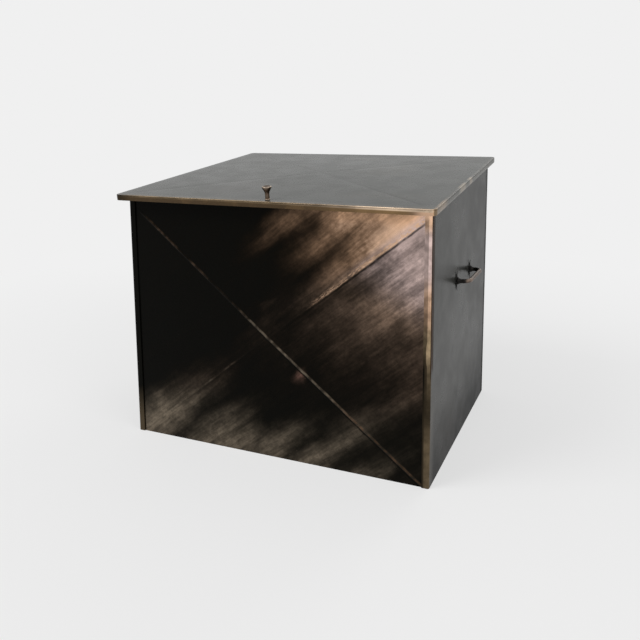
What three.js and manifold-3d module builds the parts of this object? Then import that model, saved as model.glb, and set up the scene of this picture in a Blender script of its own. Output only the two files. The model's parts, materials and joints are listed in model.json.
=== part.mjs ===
// Kindling box of steel sheet: a body of five sheets, a sloping lid edged with flat strip on two butt
// hinges, a turned lid knob and a bow handle on each side.
// Millimetres, +Z up. The origin lies on the floor under the middle of the body, and -Y is the front.

import * as THREE from "three";
import { mergeVertices } from "three/addons/utils/BufferGeometryUtils.js";
import Module from "manifold-3d";

// ---- Sheet metal in general ----
const SHEET = 1.5;
const BEND_RADIUS = 3; // outside radius of a folded corner
const SEAM_GAP = 0.3; // air between pieces that touch
const HEM_DEPTH = 10; // how far a safety hem is folded down
const HEM_GAP = 0.6; // air inside a folded hem

// ---- Body ----
const BOX_WIDTH = 500;
const BOX_DEPTH = 380;
const FRONT_HEIGHT = 398;
const BACK_HEIGHT = 443;
const FRONT_FLANGE = 11; // width of the side panels' strip that shows on the front
const REAR_FLANGE = 15;
const FLOOR_CORNER = 4; // corner radius of the floor, clear of the side panels' bends

// ---- Cross-break of the front panel ----
const FIELD_HEIGHT = 376; // top of the diagonal field above the floor
const FIELD_FOOT = 2; // bottom of the field above the floor
const FRONT_BULGE = 5; // how far the middle stands out
const CREASE_WIDTH = 6;
const CREASE_HEIGHT = 1.2;
const CREASE_START = 0.06; // where a crease begins, as a share of the way from corner to middle

// ---- Lid ----
const LID_FRONT_OVERHANG = 22;
const LID_REAR_OVERHANG = 22;
const LID_SIDE_OVERHANG = 9;
const EDGING = 2; // thickness of the flat strip welded under the lid's edge
const RIM_DEPTH = 9; // height of the lid's edge, sheet and strip together
const REAR_RIM_DEPTH = 5; // the same between the hinges, clear of the back panel when the lid is up
const LID_CORNER = 8; // corner radius in plan
const LID_BULGE = 3;
const LID_FIELD_MARGIN = 14; // flat border round the lid's cross-break

// ---- Knob ----
const KNOB_SETBACK = 12; // from the lid's front edge
const KNOB_OFFSET = 7.5; // to the right of the middle
const KNOB_HEIGHT = 20;
const KNOB_HEAD_RADIUS = 7.2;
const KNOB_STEM_RADIUS = 3.4;
const KNOB_FOOT_RADIUS = 4;
const KNOB_BORE_DEPTH = 9;

// ---- Hinges ----
const HINGE_INSET = 90; // from the box's side to the middle of a hinge
const HINGE_LENGTH = 60;
const HINGE_MIDDLE = 22; // length of the lid leaf's knuckle
const LEAF = 1.2;
const PIN_RADIUS = 2;
const PIN_PLAY = 0.08; // radial running clearance
const PIN_HEAD_RADIUS = 2.9;
const PIN_HEAD = 1.2;
const KNUCKLE_SWELL = 0.4; // the rolled knuckle's wall is thicker than the leaf by this
const BODY_LEAF_HEIGHT = 32;
const LID_LEAF_DEPTH = 28;
const KNUCKLE_GAP = 0.4; // between knuckles along the pin
const RIVETS_PER_LEAF = 3;
const RIVET_PITCH = 21;
const RIVET_DROP = 24; // below the hinge axis
const RIVET_RADIUS = 1.6;
const RIVET_HEAD_RADIUS = 3.2;
const RIVET_HEAD = 1.1;

// ---- Bow handles ----
const HANDLE_HEIGHT = 267.5; // above the floor
const HANDLE_SPACING = 94; // between the middles of the rosettes
const HANDLE_REACH = 23; // outer face of the bow from the side panel
const BAR_RADIUS = 3.4;
const BOW_CORNER = 13; // bend radius of the bar's middle line
const COLLAR_RADIUS = 6.2;
const COLLAR_LENGTH = 5;
const ROSETTE_THICKNESS = 2.4;
const ROSETTE_LONG = 15.5; // length of the upper and lower points
const ROSETTE_SHORT = 10; // length of the side points
const ROSETTE_WAIST = 4.7; // how near the hollow sides are drawn towards the middle

// ---- Screws ----
const SCREW_RADIUS = 1.8;
const SCREW_HEAD_RADIUS = 3.8;
const SCREW_HEAD = 2.2;
const WASHER_RADIUS = 4.6;
const WASHER = 0.9;
const HANDLE_SCREW_GRIP = 7; // length of thread inside the bow
const KNOB_SCREW_GRIP = 7;

// ---- Worked out ----
const HALF_WIDTH = BOX_WIDTH / 2;
const HALF_DEPTH = BOX_DEPTH / 2;
const RISE = (BACK_HEIGHT - FRONT_HEIGHT) / BOX_DEPTH;
const SLOPE = Math.atan(RISE);
const HOLE_RADIUS = SCREW_RADIUS + SEAM_GAP;
const KNUCKLE_RADIUS = PIN_RADIUS + PIN_PLAY + LEAF + KNUCKLE_SWELL;
const FRONT_FACE = -HALF_DEPTH + SHEET + SEAM_GAP; // outer face of the front panel's border
const FRONT_INNER = FRONT_FACE + SHEET;
const BACK_INNER = HALF_DEPTH - SHEET;
const SIDE_END = BACK_INNER - SEAM_GAP; // rear end of the side panels
const HEM_THICKNESS = 2 * SHEET + HEM_GAP;
const LID_HALF_WIDTH = HALF_WIDTH + LID_SIDE_OVERHANG;
const BACK_PANEL_DROP = LEAF + SEAM_GAP; // the lid leaves pass over the back panel
const UNCUT = BACK_HEIGHT + HEM_DEPTH; // height of a sheet before its top is cut to the slope

// ---- How finely round shapes are divided ----
const ROUND = 24; // sides of a knuckle, pin or knob
const SMALL_ROUND = 12; // sides of a screw, rivet, washer or small hole
const CORNER_STEPS = 4; // straight steps in a bent or rounded corner
const BAR_SIDES = 12;
const BOW_STEPS = 48; // rings along a handle bow

const topHeight = (y) => FRONT_HEIGHT + (y + HALF_DEPTH) * RISE;

// The hinge axis lies behind the back panel, a knuckle's radius under the lid sheet.
const HINGE_DROP = KNUCKLE_RADIUS + SEAM_GAP;
const HINGE_Y = HALF_DEPTH + SEAM_GAP + KNUCKLE_RADIUS;
const HINGE_Z = topHeight(HINGE_Y) + (SEAM_GAP - HINGE_DROP) / Math.cos(SLOPE);
const BORE_RADIUS = (PIN_RADIUS + PIN_PLAY) / Math.cos(Math.PI / ROUND);
const MIDDLE_HALF = HINGE_MIDDLE / 2;
const MIDDLE_NOTCH = MIDDLE_HALF + KNUCKLE_GAP;
const KNUCKLE_CLEAR = KNUCKLE_RADIUS + 2 * SEAM_GAP;

// Inside the lid, +Y runs up the slope to the back, +Z is square to the sheet, and 0 is the hinge axis.
const LID_UNDER = HINGE_DROP;
const LID_TOP = LID_UNDER + SHEET;
const lidAlong = (y, z) => (y - HINGE_Y + z * Math.sin(SLOPE)) / Math.cos(SLOPE);
const LID_FRONT = lidAlong(-HALF_DEPTH - LID_FRONT_OVERHANG, LID_TOP);
const LID_REAR = lidAlong(HALF_DEPTH + LID_REAR_OVERHANG, LID_TOP - REAR_RIM_DEPTH);

// ---- Materials ----
const finish = (color, roughness, metalness) =>
  new THREE.MeshStandardMaterial({ color, roughness, metalness });
const PATINA = () => finish(0x3a302b, 0.42, 0.75);
const SATIN_STEEL = () => finish(0x6c6e6d, 0.4, 0.7);
const RUBBED_COPPER = () => finish(0x8a6a55, 0.38, 0.85);
const BLACK_IRON = () => finish(0x1d1b1a, 0.5, 0.7);
const ZINC = () => finish(0xa8abad, 0.35, 0.9);

// ---- Solids ----
const wasm = await Module();
wasm.setup();

function toSolid(geometry) {
  const bare = geometry.clone();
  bare.deleteAttribute("normal");
  bare.deleteAttribute("uv");
  const merged = mergeVertices(bare);
  const corners = [];
  const index = merged.index.array;
  for (let i = 0; i < index.length; i += 3) {
    const [a, b, c] = [index[i], index[i + 1], index[i + 2]];
    if (a !== b && b !== c && c !== a) corners.push(a, b, c);
  }
  const mesh = new wasm.Mesh({
    numProp: 3,
    vertProperties: merged.attributes.position.array,
    triVerts: Uint32Array.from(corners),
  });
  return new wasm.Manifold(mesh);
}

function toGeometry(body) {
  const mesh = body.getMesh();
  const geometry = new THREE.BufferGeometry();
  geometry.setAttribute("position", new THREE.BufferAttribute(mesh.vertProperties, 3));
  geometry.setIndex(new THREE.BufferAttribute(mesh.triVerts, 1));
  geometry.computeVertexNormals();
  return geometry;
}

const join = (...parts) => parts.map(toSolid).reduce((all, part) => all.add(part));
const cut = (body, ...holes) => holes.map(toSolid).reduce((rest, hole) => rest.subtract(hole), body);

// A block between two corners, each axis given as [low, high].
function block(x, y, z) {
  const geometry = new THREE.BoxGeometry(x[1] - x[0], y[1] - y[0], z[1] - z[0]);
  return geometry.translate((x[0] + x[1]) / 2, (y[0] + y[1]) / 2, (z[0] + z[1]) / 2);
}

// Raises each point by the height of the body's top plane at its place.
function ontoTop(geometry) {
  const place = geometry.attributes.position;
  for (let i = 0; i < place.count; i += 1) place.setZ(i, place.getZ(i) + topHeight(place.getY(i)));
  return geometry;
}

// Everything above the body's top plane, or above a plane that lies lower by drop.
function aboveTop(drop = 0) {
  return ontoTop(block([-BOX_WIDTH, BOX_WIDTH], [-BOX_DEPTH, BOX_DEPTH], [-drop, BACK_HEIGHT]));
}

// A turned piece: profile is a list of [radius, height], and height runs along the named axis.
function turned(profile, axis, sides = ROUND) {
  const points = profile.map(([radius, height]) => new THREE.Vector2(radius, height));
  const geometry = new THREE.LatheGeometry(points, sides);
  if (axis === "z") geometry.rotateX(Math.PI / 2);
  if (axis === "x") geometry.rotateZ(-Math.PI / 2);
  return geometry;
}

// A round bar along the named axis, from one height to another.
const bar = (radius, from, to, axis, sides = ROUND) =>
  turned([[0, from], [radius, from], [radius, to], [0, to]], axis, sides);

// A knuckle round the X axis, with its bore cut through.
function knuckle(from, to) {
  const bore = bar(BORE_RADIUS, from - SHEET, to + SHEET, "x");
  return cut(toSolid(bar(KNUCKLE_RADIUS, from, to, "x")), bore);
}

function roundedRectangle(x, y, radius) {
  const outline = new THREE.Shape();
  outline.absarc(x[1] - radius, y[0] + radius, radius, -Math.PI / 2, 0, false);
  outline.absarc(x[1] - radius, y[1] - radius, radius, 0, Math.PI / 2, false);
  outline.absarc(x[0] + radius, y[1] - radius, radius, Math.PI / 2, Math.PI, false);
  outline.absarc(x[0] + radius, y[0] + radius, radius, Math.PI, 1.5 * Math.PI, false);
  return new THREE.Shape(outline.getPoints(CORNER_STEPS));
}

function slab(outline, low, high) {
  const geometry = new THREE.ExtrudeGeometry(outline, { depth: high - low, bevelEnabled: false });
  return geometry.translate(0, 0, low);
}

function piece(name, geometry, material, place = [0, 0, 0]) {
  const mesh = new THREE.Mesh(geometry, material);
  mesh.name = name;
  mesh.position.set(...place);
  return mesh;
}

// ---- Body panels ----

// A four-sided pyramid on a rectangle in the plane y = base, with its tip in front of it at y = tip.
function pyramid(x, z, base, tip) {
  const points = [
    [x[0], base, z[0]],
    [x[1], base, z[0]],
    [x[1], base, z[1]],
    [x[0], base, z[1]],
    [(x[0] + x[1]) / 2, tip, (z[0] + z[1]) / 2],
  ];
  const faces = [0, 3, 1, 1, 3, 2, 0, 1, 4, 1, 2, 4, 2, 3, 4, 3, 0, 4];
  const geometry = new THREE.BufferGeometry();
  geometry.setAttribute("position", new THREE.Float32BufferAttribute(points.flat(), 3));
  geometry.setIndex(faces);
  return geometry;
}

// The raised line of a cross-break, from near a corner of the field to its middle.
function crease(corner, middle) {
  const start = new THREE.Vector3(...corner).lerp(new THREE.Vector3(...middle), CREASE_START);
  const end = new THREE.Vector3(...middle);
  const along = end.clone().sub(start);
  const outward = new THREE.Vector3(0, -1, 0);
  const across = along.clone().cross(outward).setLength(CREASE_WIDTH / 2);
  const crest = outward.clone().multiplyScalar(CREASE_HEIGHT);
  const root = outward.clone().multiplyScalar(-SHEET / 3);
  const rim = [start, end].flatMap((point) => [
    point.clone().add(across).add(root),
    point.clone().add(crest),
    point.clone().sub(across).add(root),
  ]);
  const faces = [0, 1, 2, 3, 5, 4, 0, 3, 4, 0, 4, 1, 1, 4, 5, 1, 5, 2, 2, 5, 3, 2, 3, 0];
  const geometry = new THREE.BufferGeometry().setFromPoints(rim);
  geometry.setIndex(faces);
  return geometry;
}

function frontPanel() {
  const halfWidth = HALF_WIDTH - SHEET - 2 * SEAM_GAP - BEND_RADIUS / 2;
  const fieldEdge = HALF_WIDTH - FRONT_FLANGE - 2 * SEAM_GAP;
  const across = [-fieldEdge, fieldEdge];
  const up = [FIELD_FOOT, FIELD_HEIGHT];
  const middle = [0, FRONT_FACE - FRONT_BULGE, (FIELD_FOOT + FIELD_HEIGHT) / 2];
  const width = [-halfWidth, halfWidth];
  const hemFace = FRONT_FACE + HEM_THICKNESS;
  const sheet = block(width, [FRONT_FACE, FRONT_INNER], [0, UNCUT]);
  const fold = block(width, [FRONT_FACE, hemFace], [-SHEET, HEM_DEPTH]);
  const lip = block(width, [hemFace - SHEET, hemFace], [-HEM_DEPTH, 0]);
  const field = pyramid(across, up, FRONT_FACE, FRONT_FACE - FRONT_BULGE);
  const creases = across.flatMap((x) => up.map((z) => crease([x, FRONT_FACE, z], middle)));
  const body = join(sheet, ontoTop(fold), ontoTop(lip), field, ...creases);
  const hollow = pyramid(across, up, FRONT_INNER, FRONT_INNER - FRONT_BULGE);
  return toGeometry(cut(body, hollow, aboveTop()));
}

function backPanel() {
  const hemWidth = HALF_WIDTH - REAR_FLANGE - 2 * SEAM_GAP; // half of it
  const hemFace = HALF_DEPTH - HEM_THICKNESS;
  const foldHeight = [-BACK_PANEL_DROP - SHEET, HEM_DEPTH];
  const sheet = block([-HALF_WIDTH, HALF_WIDTH], [BACK_INNER, HALF_DEPTH], [0, UNCUT]);
  const fold = block([-hemWidth, hemWidth], [hemFace, HALF_DEPTH], foldHeight);
  const lip = block([-hemWidth, hemWidth], [hemFace, hemFace + SHEET], [-HEM_DEPTH, 0]);
  const body = join(sheet, ontoTop(fold), ontoTop(lip));
  const rivets = hingePlaces().flatMap((hinge) => rivetPlaces(hinge.x));
  const holes = rivets.map((x) => rivetHole(x).translate(0, 0, HINGE_Z));
  return toGeometry(cut(body, aboveTop(BACK_PANEL_DROP), ...holes));
}

// Plan of a side panel: front flange, side and rear flange in one bent strip. side is 1 or -1.
function sidePlan(side) {
  const inner = BEND_RADIUS - SHEET;
  const outline = new THREE.Shape();
  const frontBend = [HALF_WIDTH - BEND_RADIUS, -HALF_DEPTH + BEND_RADIUS];
  const rearBend = [HALF_WIDTH - BEND_RADIUS, SIDE_END - BEND_RADIUS];
  outline.moveTo(HALF_WIDTH - FRONT_FLANGE, -HALF_DEPTH);
  outline.absarc(...frontBend, BEND_RADIUS, -Math.PI / 2, 0, false);
  outline.absarc(...rearBend, BEND_RADIUS, 0, Math.PI / 2, false);
  outline.lineTo(HALF_WIDTH - REAR_FLANGE, SIDE_END);
  outline.lineTo(HALF_WIDTH - REAR_FLANGE, SIDE_END - SHEET);
  outline.absarc(...rearBend, inner, Math.PI / 2, 0, true);
  outline.absarc(...frontBend, inner, 0, -Math.PI / 2, true);
  outline.lineTo(HALF_WIDTH - FRONT_FLANGE, -HALF_DEPTH + SHEET);
  const points = outline.getPoints(CORNER_STEPS);
  return new THREE.Shape(points.map((point) => new THREE.Vector2(side * point.x, point.y)));
}

function sidePanel(side) {
  const strip = new THREE.ExtrudeGeometry(sidePlan(side), { depth: UNCUT, bevelEnabled: false });
  const hemEnds = [FRONT_INNER + 2 * SEAM_GAP, SIDE_END - SHEET - 2 * SEAM_GAP];
  const span = (a, b) => [Math.min(side * a, side * b), Math.max(side * a, side * b)];
  const hemFace = HALF_WIDTH - HEM_THICKNESS;
  const fold = block(span(hemFace, HALF_WIDTH - SHEET / 2), hemEnds, [-SHEET, HEM_DEPTH]);
  const lip = block(span(hemFace, hemFace + SHEET), hemEnds, [-HEM_DEPTH, 0]);
  const body = join(strip, ontoTop(fold), ontoTop(lip));
  const screwHoles = [-1, 1].map((end) =>
    bar(HOLE_RADIUS, -BOX_WIDTH, BOX_WIDTH, "x", SMALL_ROUND)
      .translate(0, (end * HANDLE_SPACING) / 2, HANDLE_HEIGHT),
  );
  return toGeometry(cut(body, aboveTop(), ...screwHoles));
}

function floorPanel() {
  const x = HALF_WIDTH - SHEET - SEAM_GAP;
  const y = [FRONT_INNER + SEAM_GAP, SIDE_END - SHEET - SEAM_GAP];
  return slab(roundedRectangle([-x, x], y, FLOOR_CORNER), 0, SHEET);
}

// ---- Lid ----

// The lid's cross-break: a low pyramid on its flat field, above the plane z = base.
function lidField(base) {
  const x = [LID_FIELD_MARGIN - LID_HALF_WIDTH, LID_HALF_WIDTH - LID_FIELD_MARGIN];
  const y = [LID_FRONT + LID_FIELD_MARGIN, LID_REAR - LID_FIELD_MARGIN];
  return pyramid(x, y, -base, -base - LID_BULGE).rotateX(-Math.PI / 2);
}

const LID_SPAN = { x: [-LID_HALF_WIDTH, LID_HALF_WIDTH], y: [LID_FRONT, LID_REAR] };

function lidPanel() {
  const plate = slab(roundedRectangle(LID_SPAN.x, LID_SPAN.y, LID_CORNER), LID_UNDER, LID_TOP);
  const knobHole = bar(HOLE_RADIUS, LID_UNDER - SHEET, LID_TOP + SHEET, "z", SMALL_ROUND);
  knobHole.translate(KNOB_OFFSET, LID_FRONT + KNOB_SETBACK, 0);
  return toGeometry(cut(join(plate, lidField(LID_TOP)), lidField(LID_UNDER), knobHole));
}

// The part of the lid's edging that lies in the given spans, down to the given height.
function edging(x, y, low) {
  const inset = (span) => [span[0] + EDGING, span[1] - EDGING];
  const inner = roundedRectangle(inset(LID_SPAN.x), inset(LID_SPAN.y), LID_CORNER - EDGING);
  const top = LID_UNDER - SEAM_GAP;
  const ring = cut(
    toSolid(slab(roundedRectangle(LID_SPAN.x, LID_SPAN.y, LID_CORNER), low, top)),
    slab(inner, low - SHEET, top + SHEET),
  );
  return toGeometry(ring.intersect(toSolid(block(x, y, [low, top]))));
}

// Four strips: the front one is bent round both front corners, and the side ones round the rear corners.
function edgingPieces() {
  const low = LID_TOP - RIM_DEPTH;
  const frontEnd = LID_FRONT + LID_CORNER;
  const rearEnd = LID_HALF_WIDTH - LID_CORNER;
  const sideSpan = [frontEnd + SEAM_GAP, LID_REAR];
  const frontSpan = [LID_FRONT, frontEnd];
  const rearStrip = rearEnd - SEAM_GAP;
  return [
    piece("lid_front_edging", edging(LID_SPAN.x, frontSpan, low), SATIN_STEEL()),
    piece("lid_left_edging", edging([-LID_HALF_WIDTH, -rearEnd], sideSpan, low), SATIN_STEEL()),
    piece("lid_right_edging", edging([rearEnd, LID_HALF_WIDTH], sideSpan, low), SATIN_STEEL()),
    piece(
      "lid_rear_edging",
      edging([-rearStrip, rearStrip], [LID_REAR - LID_CORNER, LID_REAR], LID_TOP - REAR_RIM_DEPTH),
      SATIN_STEEL(),
    ),
  ];
}

// ---- Screws, washers and rivets: heads at the low end, shanks pointing up their axis ----

function screw(grip, axis) {
  const profile = [
    [0, -SCREW_HEAD],
    [SCREW_HEAD_RADIUS * 0.8, -SCREW_HEAD],
    [SCREW_HEAD_RADIUS, -SCREW_HEAD * 0.6],
    [SCREW_HEAD_RADIUS, 0],
    [SCREW_RADIUS, 0],
    [SCREW_RADIUS, grip - SCREW_RADIUS / 2],
    [SCREW_RADIUS / 2, grip],
    [0, grip],
  ];
  return turned(profile, axis, SMALL_ROUND);
}

function washer(axis) {
  const profile = [
    [HOLE_RADIUS, 0],
    [WASHER_RADIUS, 0],
    [WASHER_RADIUS, WASHER],
    [HOLE_RADIUS, WASHER],
    [HOLE_RADIUS, 0],
  ];
  return turned(profile, axis, SMALL_ROUND);
}

// ---- Knob ----

// A trumpet-shaped knob. Its heights are shares of the whole, from the foot up.
function lidKnob() {
  const profile = [
    [0, 0],
    [KNOB_FOOT_RADIUS, 0],
    [KNOB_FOOT_RADIUS, KNOB_HEIGHT * 0.05],
    [KNOB_STEM_RADIUS, KNOB_HEIGHT * 0.1],
    [KNOB_STEM_RADIUS, KNOB_HEIGHT * 0.5],
    [KNOB_HEAD_RADIUS * 0.58, KNOB_HEIGHT * 0.6],
    [KNOB_HEAD_RADIUS, KNOB_HEIGHT * 0.9],
    [KNOB_HEAD_RADIUS, KNOB_HEIGHT * 0.96],
    [KNOB_HEAD_RADIUS * 0.88, KNOB_HEIGHT],
    [KNOB_HEAD_RADIUS * 0.5, KNOB_HEIGHT * 0.96],
    [0, KNOB_HEIGHT * 0.95],
  ];
  const bore = bar(HOLE_RADIUS, -SHEET, KNOB_BORE_DEPTH, "z", SMALL_ROUND);
  return toGeometry(cut(toSolid(turned(profile, "z")), bore));
}

function lidPieces() {
  const lid = new THREE.Group();
  lid.position.set(0, HINGE_Y, HINGE_Z);
  lid.rotation.x = SLOPE;
  const knobPlace = (z) => [KNOB_OFFSET, LID_FRONT + KNOB_SETBACK, z];
  const washerLow = LID_UNDER - SEAM_GAP - WASHER;
  const headTop = washerLow - SEAM_GAP;
  const grip = LID_TOP + SEAM_GAP + KNOB_SCREW_GRIP - headTop;
  lid.add(
    piece("lid_panel", lidPanel(), SATIN_STEEL()),
    ...edgingPieces(),
    piece("lid_knob", lidKnob(), RUBBED_COPPER(), knobPlace(LID_TOP + SEAM_GAP)),
    piece("knob_washer", washer("z"), ZINC(), knobPlace(washerLow)),
    piece("knob_screw", screw(grip, "z"), ZINC(), knobPlace(headTop)),
  );
  for (const hinge of hingePlaces()) {
    lid.add(piece(`${hinge.name}_hinge_lid_leaf`, lidLeaf(), BLACK_IRON(), [hinge.x, 0, 0]));
  }
  return lid;
}

// ---- Hinges, each round its own pin along the X axis ----

function hingePlaces() {
  return [
    { name: "left", x: HINGE_INSET - HALF_WIDTH },
    { name: "right", x: HALF_WIDTH - HINGE_INSET },
  ];
}

// Where the rivets of a hinge stand along X, from the hinge's own middle.
function rivetPlaces(hingeX) {
  const middle = (RIVETS_PER_LEAF - 1) / 2;
  return Array.from({ length: RIVETS_PER_LEAF }, (_, i) => hingeX + (i - middle) * RIVET_PITCH);
}

// A hole for a rivet at x, through whatever lies behind the box's middle, below the hinge axis.
function rivetHole(x) {
  return bar(RIVET_RADIUS + SEAM_GAP, 0, BOX_DEPTH, "y", SMALL_ROUND).translate(x, 0, -RIVET_DROP);
}

function bodyLeaf() {
  const end = HINGE_LENGTH / 2;
  const thick = [-KNUCKLE_RADIUS, LEAF - KNUCKLE_RADIUS];
  const plate = join(
    block([-end, end], thick, [-BODY_LEAF_HEIGHT, -KNUCKLE_CLEAR]),
    block([-end, -MIDDLE_NOTCH], thick, [-BODY_LEAF_HEIGHT, 0]),
    block([MIDDLE_NOTCH, end], thick, [-BODY_LEAF_HEIGHT, 0]),
  );
  const leaf = plate.add(knuckle(-end, -MIDDLE_NOTCH)).add(knuckle(MIDDLE_NOTCH, end));
  const holes = rivetPlaces(0).map((x) => rivetHole(x).translate(0, -HALF_DEPTH, 0));
  return toGeometry(cut(leaf, bar(BORE_RADIUS, -HINGE_LENGTH, HINGE_LENGTH, "x"), ...holes));
}

function lidLeaf() {
  const end = HINGE_LENGTH / 2;
  const thick = [KNUCKLE_RADIUS - LEAF, KNUCKLE_RADIUS];
  const plate = join(
    block([-end, end], [-LID_LEAF_DEPTH, -KNUCKLE_CLEAR], thick),
    block([-MIDDLE_HALF, MIDDLE_HALF], [-LID_LEAF_DEPTH, 0], thick),
  );
  const leaf = plate.add(knuckle(-MIDDLE_HALF, MIDDLE_HALF));
  return toGeometry(cut(leaf, bar(BORE_RADIUS, -HINGE_LENGTH, HINGE_LENGTH, "x")));
}

function hingePin() {
  const end = HINGE_LENGTH / 2 + SEAM_GAP;
  const profile = [
    [0, -end - PIN_HEAD],
    [PIN_HEAD_RADIUS * 0.6, -end - PIN_HEAD],
    [PIN_HEAD_RADIUS, -end - PIN_HEAD / 3],
    [PIN_HEAD_RADIUS, -end],
    [PIN_RADIUS, -end],
    [PIN_RADIUS, end],
    [PIN_HEAD_RADIUS, end],
    [PIN_HEAD_RADIUS, end + PIN_HEAD / 3],
    [PIN_HEAD_RADIUS * 0.6, end + PIN_HEAD],
    [0, end + PIN_HEAD],
  ];
  return turned(profile, "x");
}

// A rivet along Y: its domed head outside the leaf, its set tail inside the back panel.
function rivet() {
  const tail = -SEAM_GAP;
  const head = 2 * SEAM_GAP + SHEET + LEAF;
  const tailRadius = RIVET_HEAD_RADIUS * 0.8;
  const profile = [
    [0, tail - RIVET_HEAD],
    [tailRadius, tail - RIVET_HEAD],
    [tailRadius, tail],
    [RIVET_RADIUS, tail],
    [RIVET_RADIUS, head],
    [RIVET_HEAD_RADIUS, head],
    [RIVET_HEAD_RADIUS * 0.75, head + RIVET_HEAD * 0.75],
    [RIVET_HEAD_RADIUS * 0.3, head + RIVET_HEAD],
    [0, head + RIVET_HEAD],
  ];
  return turned(profile, "y", SMALL_ROUND);
}

function hingePieces() {
  return hingePlaces().flatMap((hinge) => [
    piece(`${hinge.name}_hinge_body_leaf`, bodyLeaf(), BLACK_IRON(), [hinge.x, HINGE_Y, HINGE_Z]),
    piece(`${hinge.name}_hinge_pin`, hingePin(), ZINC(), [hinge.x, HINGE_Y, HINGE_Z]),
    ...rivetPlaces(hinge.x).map((x, i) =>
      piece(`${hinge.name}_hinge_rivet_${i + 1}`, rivet(), ZINC(), [x, BACK_INNER, HINGE_Z - RIVET_DROP]),
    ),
  ]);
}

// ---- Bow handles, built on the right side of the box round their own middle ----

function handleBow() {
  const foot = SEAM_GAP * 2 + ROSETTE_THICKNESS;
  const reach = HANDLE_REACH - BAR_RADIUS;
  const end = HANDLE_SPACING / 2;
  const at = (x, y) => new THREE.Vector3(x, y, 0);
  const turns = [
    [at(reach - BOW_CORNER, -end), at(reach, -end), at(reach, BOW_CORNER - end)],
    [at(reach, end - BOW_CORNER), at(reach, end), at(reach - BOW_CORNER, end)],
  ];
  const path = new THREE.CurvePath();
  path.add(new THREE.LineCurve3(at(foot, -end), turns[0][0]));
  path.add(new THREE.QuadraticBezierCurve3(...turns[0]));
  path.add(new THREE.LineCurve3(turns[0][2], turns[1][0]));
  path.add(new THREE.QuadraticBezierCurve3(...turns[1]));
  path.add(new THREE.LineCurve3(turns[1][2], at(foot, end)));
  const section = new THREE.Shape().absarc(0, 0, BAR_RADIUS, 0, 2 * Math.PI, false);
  const rod = new THREE.ExtrudeGeometry(section, {
    steps: BOW_STEPS,
    curveSegments: BAR_SIDES / 2,
    extrudePath: path,
    bevelEnabled: false,
  });
  const collarProfile = [
    [0, foot],
    [COLLAR_RADIUS, foot],
    [BAR_RADIUS, foot + COLLAR_LENGTH],
    [0, foot + COLLAR_LENGTH],
  ];
  const boreEnd = foot + HANDLE_SCREW_GRIP + 2 * SEAM_GAP;
  const ends = [-end, end];
  const collars = ends.map((y) => turned(collarProfile, "x", SMALL_ROUND).translate(0, y, 0));
  const bores = ends.map((y) => bar(HOLE_RADIUS, 0, boreEnd, "x", SMALL_ROUND).translate(0, y, 0));
  return toGeometry(cut(join(rod, ...collars), ...bores));
}

// A four-pointed plate with hollow sides, standing in the plane x = 0.
function rosette() {
  const waist = ROSETTE_WAIST * Math.SQRT1_2;
  const tips = [[ROSETTE_SHORT, 0], [0, ROSETTE_LONG], [-ROSETTE_SHORT, 0], [0, -ROSETTE_LONG]];
  const notches = [[waist, waist], [-waist, waist], [-waist, -waist], [waist, -waist]];
  const outline = new THREE.Shape();
  outline.moveTo(...tips[0]);
  notches.forEach((notch, i) => outline.quadraticCurveTo(...notch, ...tips[(i + 1) % tips.length]));
  const plate = slab(new THREE.Shape(outline.getPoints(CORNER_STEPS).slice(0, -1)), 0, ROSETTE_THICKNESS);
  const hub = bar(COLLAR_RADIUS, 0, ROSETTE_THICKNESS, "z", SMALL_ROUND);
  const hole = bar(HOLE_RADIUS, -SHEET, ROSETTE_THICKNESS + SHEET, "z", SMALL_ROUND);
  return toGeometry(cut(join(plate, hub), hole)).rotateZ(Math.PI / 2).rotateY(Math.PI / 2);
}

function handlePieces(name, side) {
  const handle = new THREE.Group();
  handle.position.set(side * HALF_WIDTH, 0, HANDLE_HEIGHT);
  if (side < 0) handle.rotation.z = Math.PI;
  handle.add(piece(`${name}_handle_bow`, handleBow(), BLACK_IRON()));
  const washerIn = -SHEET - SEAM_GAP - WASHER;
  const headTop = washerIn - SEAM_GAP;
  const grip = 2 * SEAM_GAP + ROSETTE_THICKNESS + HANDLE_SCREW_GRIP - headTop;
  for (const [label, end] of [["front", -1], ["rear", 1]]) {
    const y = (side * end * HANDLE_SPACING) / 2;
    handle.add(
      piece(`${name}_handle_${label}_rosette`, rosette(), BLACK_IRON(), [SEAM_GAP, y, 0]),
      piece(`${name}_handle_${label}_washer`, washer("x"), ZINC(), [washerIn, y, 0]),
      piece(`${name}_handle_${label}_screw`, screw(grip, "x"), ZINC(), [headTop, y, 0]),
    );
  }
  return handle;
}

// ---- The whole box ----

const kindlingBox = new THREE.Group();
kindlingBox.add(
  piece("front_panel", frontPanel(), PATINA()),
  piece("back_panel", backPanel(), PATINA()),
  piece("left_side_panel", sidePanel(-1), SATIN_STEEL()),
  piece("right_side_panel", sidePanel(1), SATIN_STEEL()),
  piece("floor_panel", floorPanel(), PATINA()),
  lidPieces(),
  ...hingePieces(),
  handlePieces("left", -1),
  handlePieces("right", 1),
);

export default kindlingBox;
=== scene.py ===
"""Looks of a kindling box of folded sheet steel: dark satin lacquer rubbed through to copper.

Metres, in the row's frame: +Z up, -Y is the front, and the origin lies on the floor under the body.
"""

from math import atan, atan2, copysign, cos, hypot, pi, radians, sin, sqrt

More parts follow.
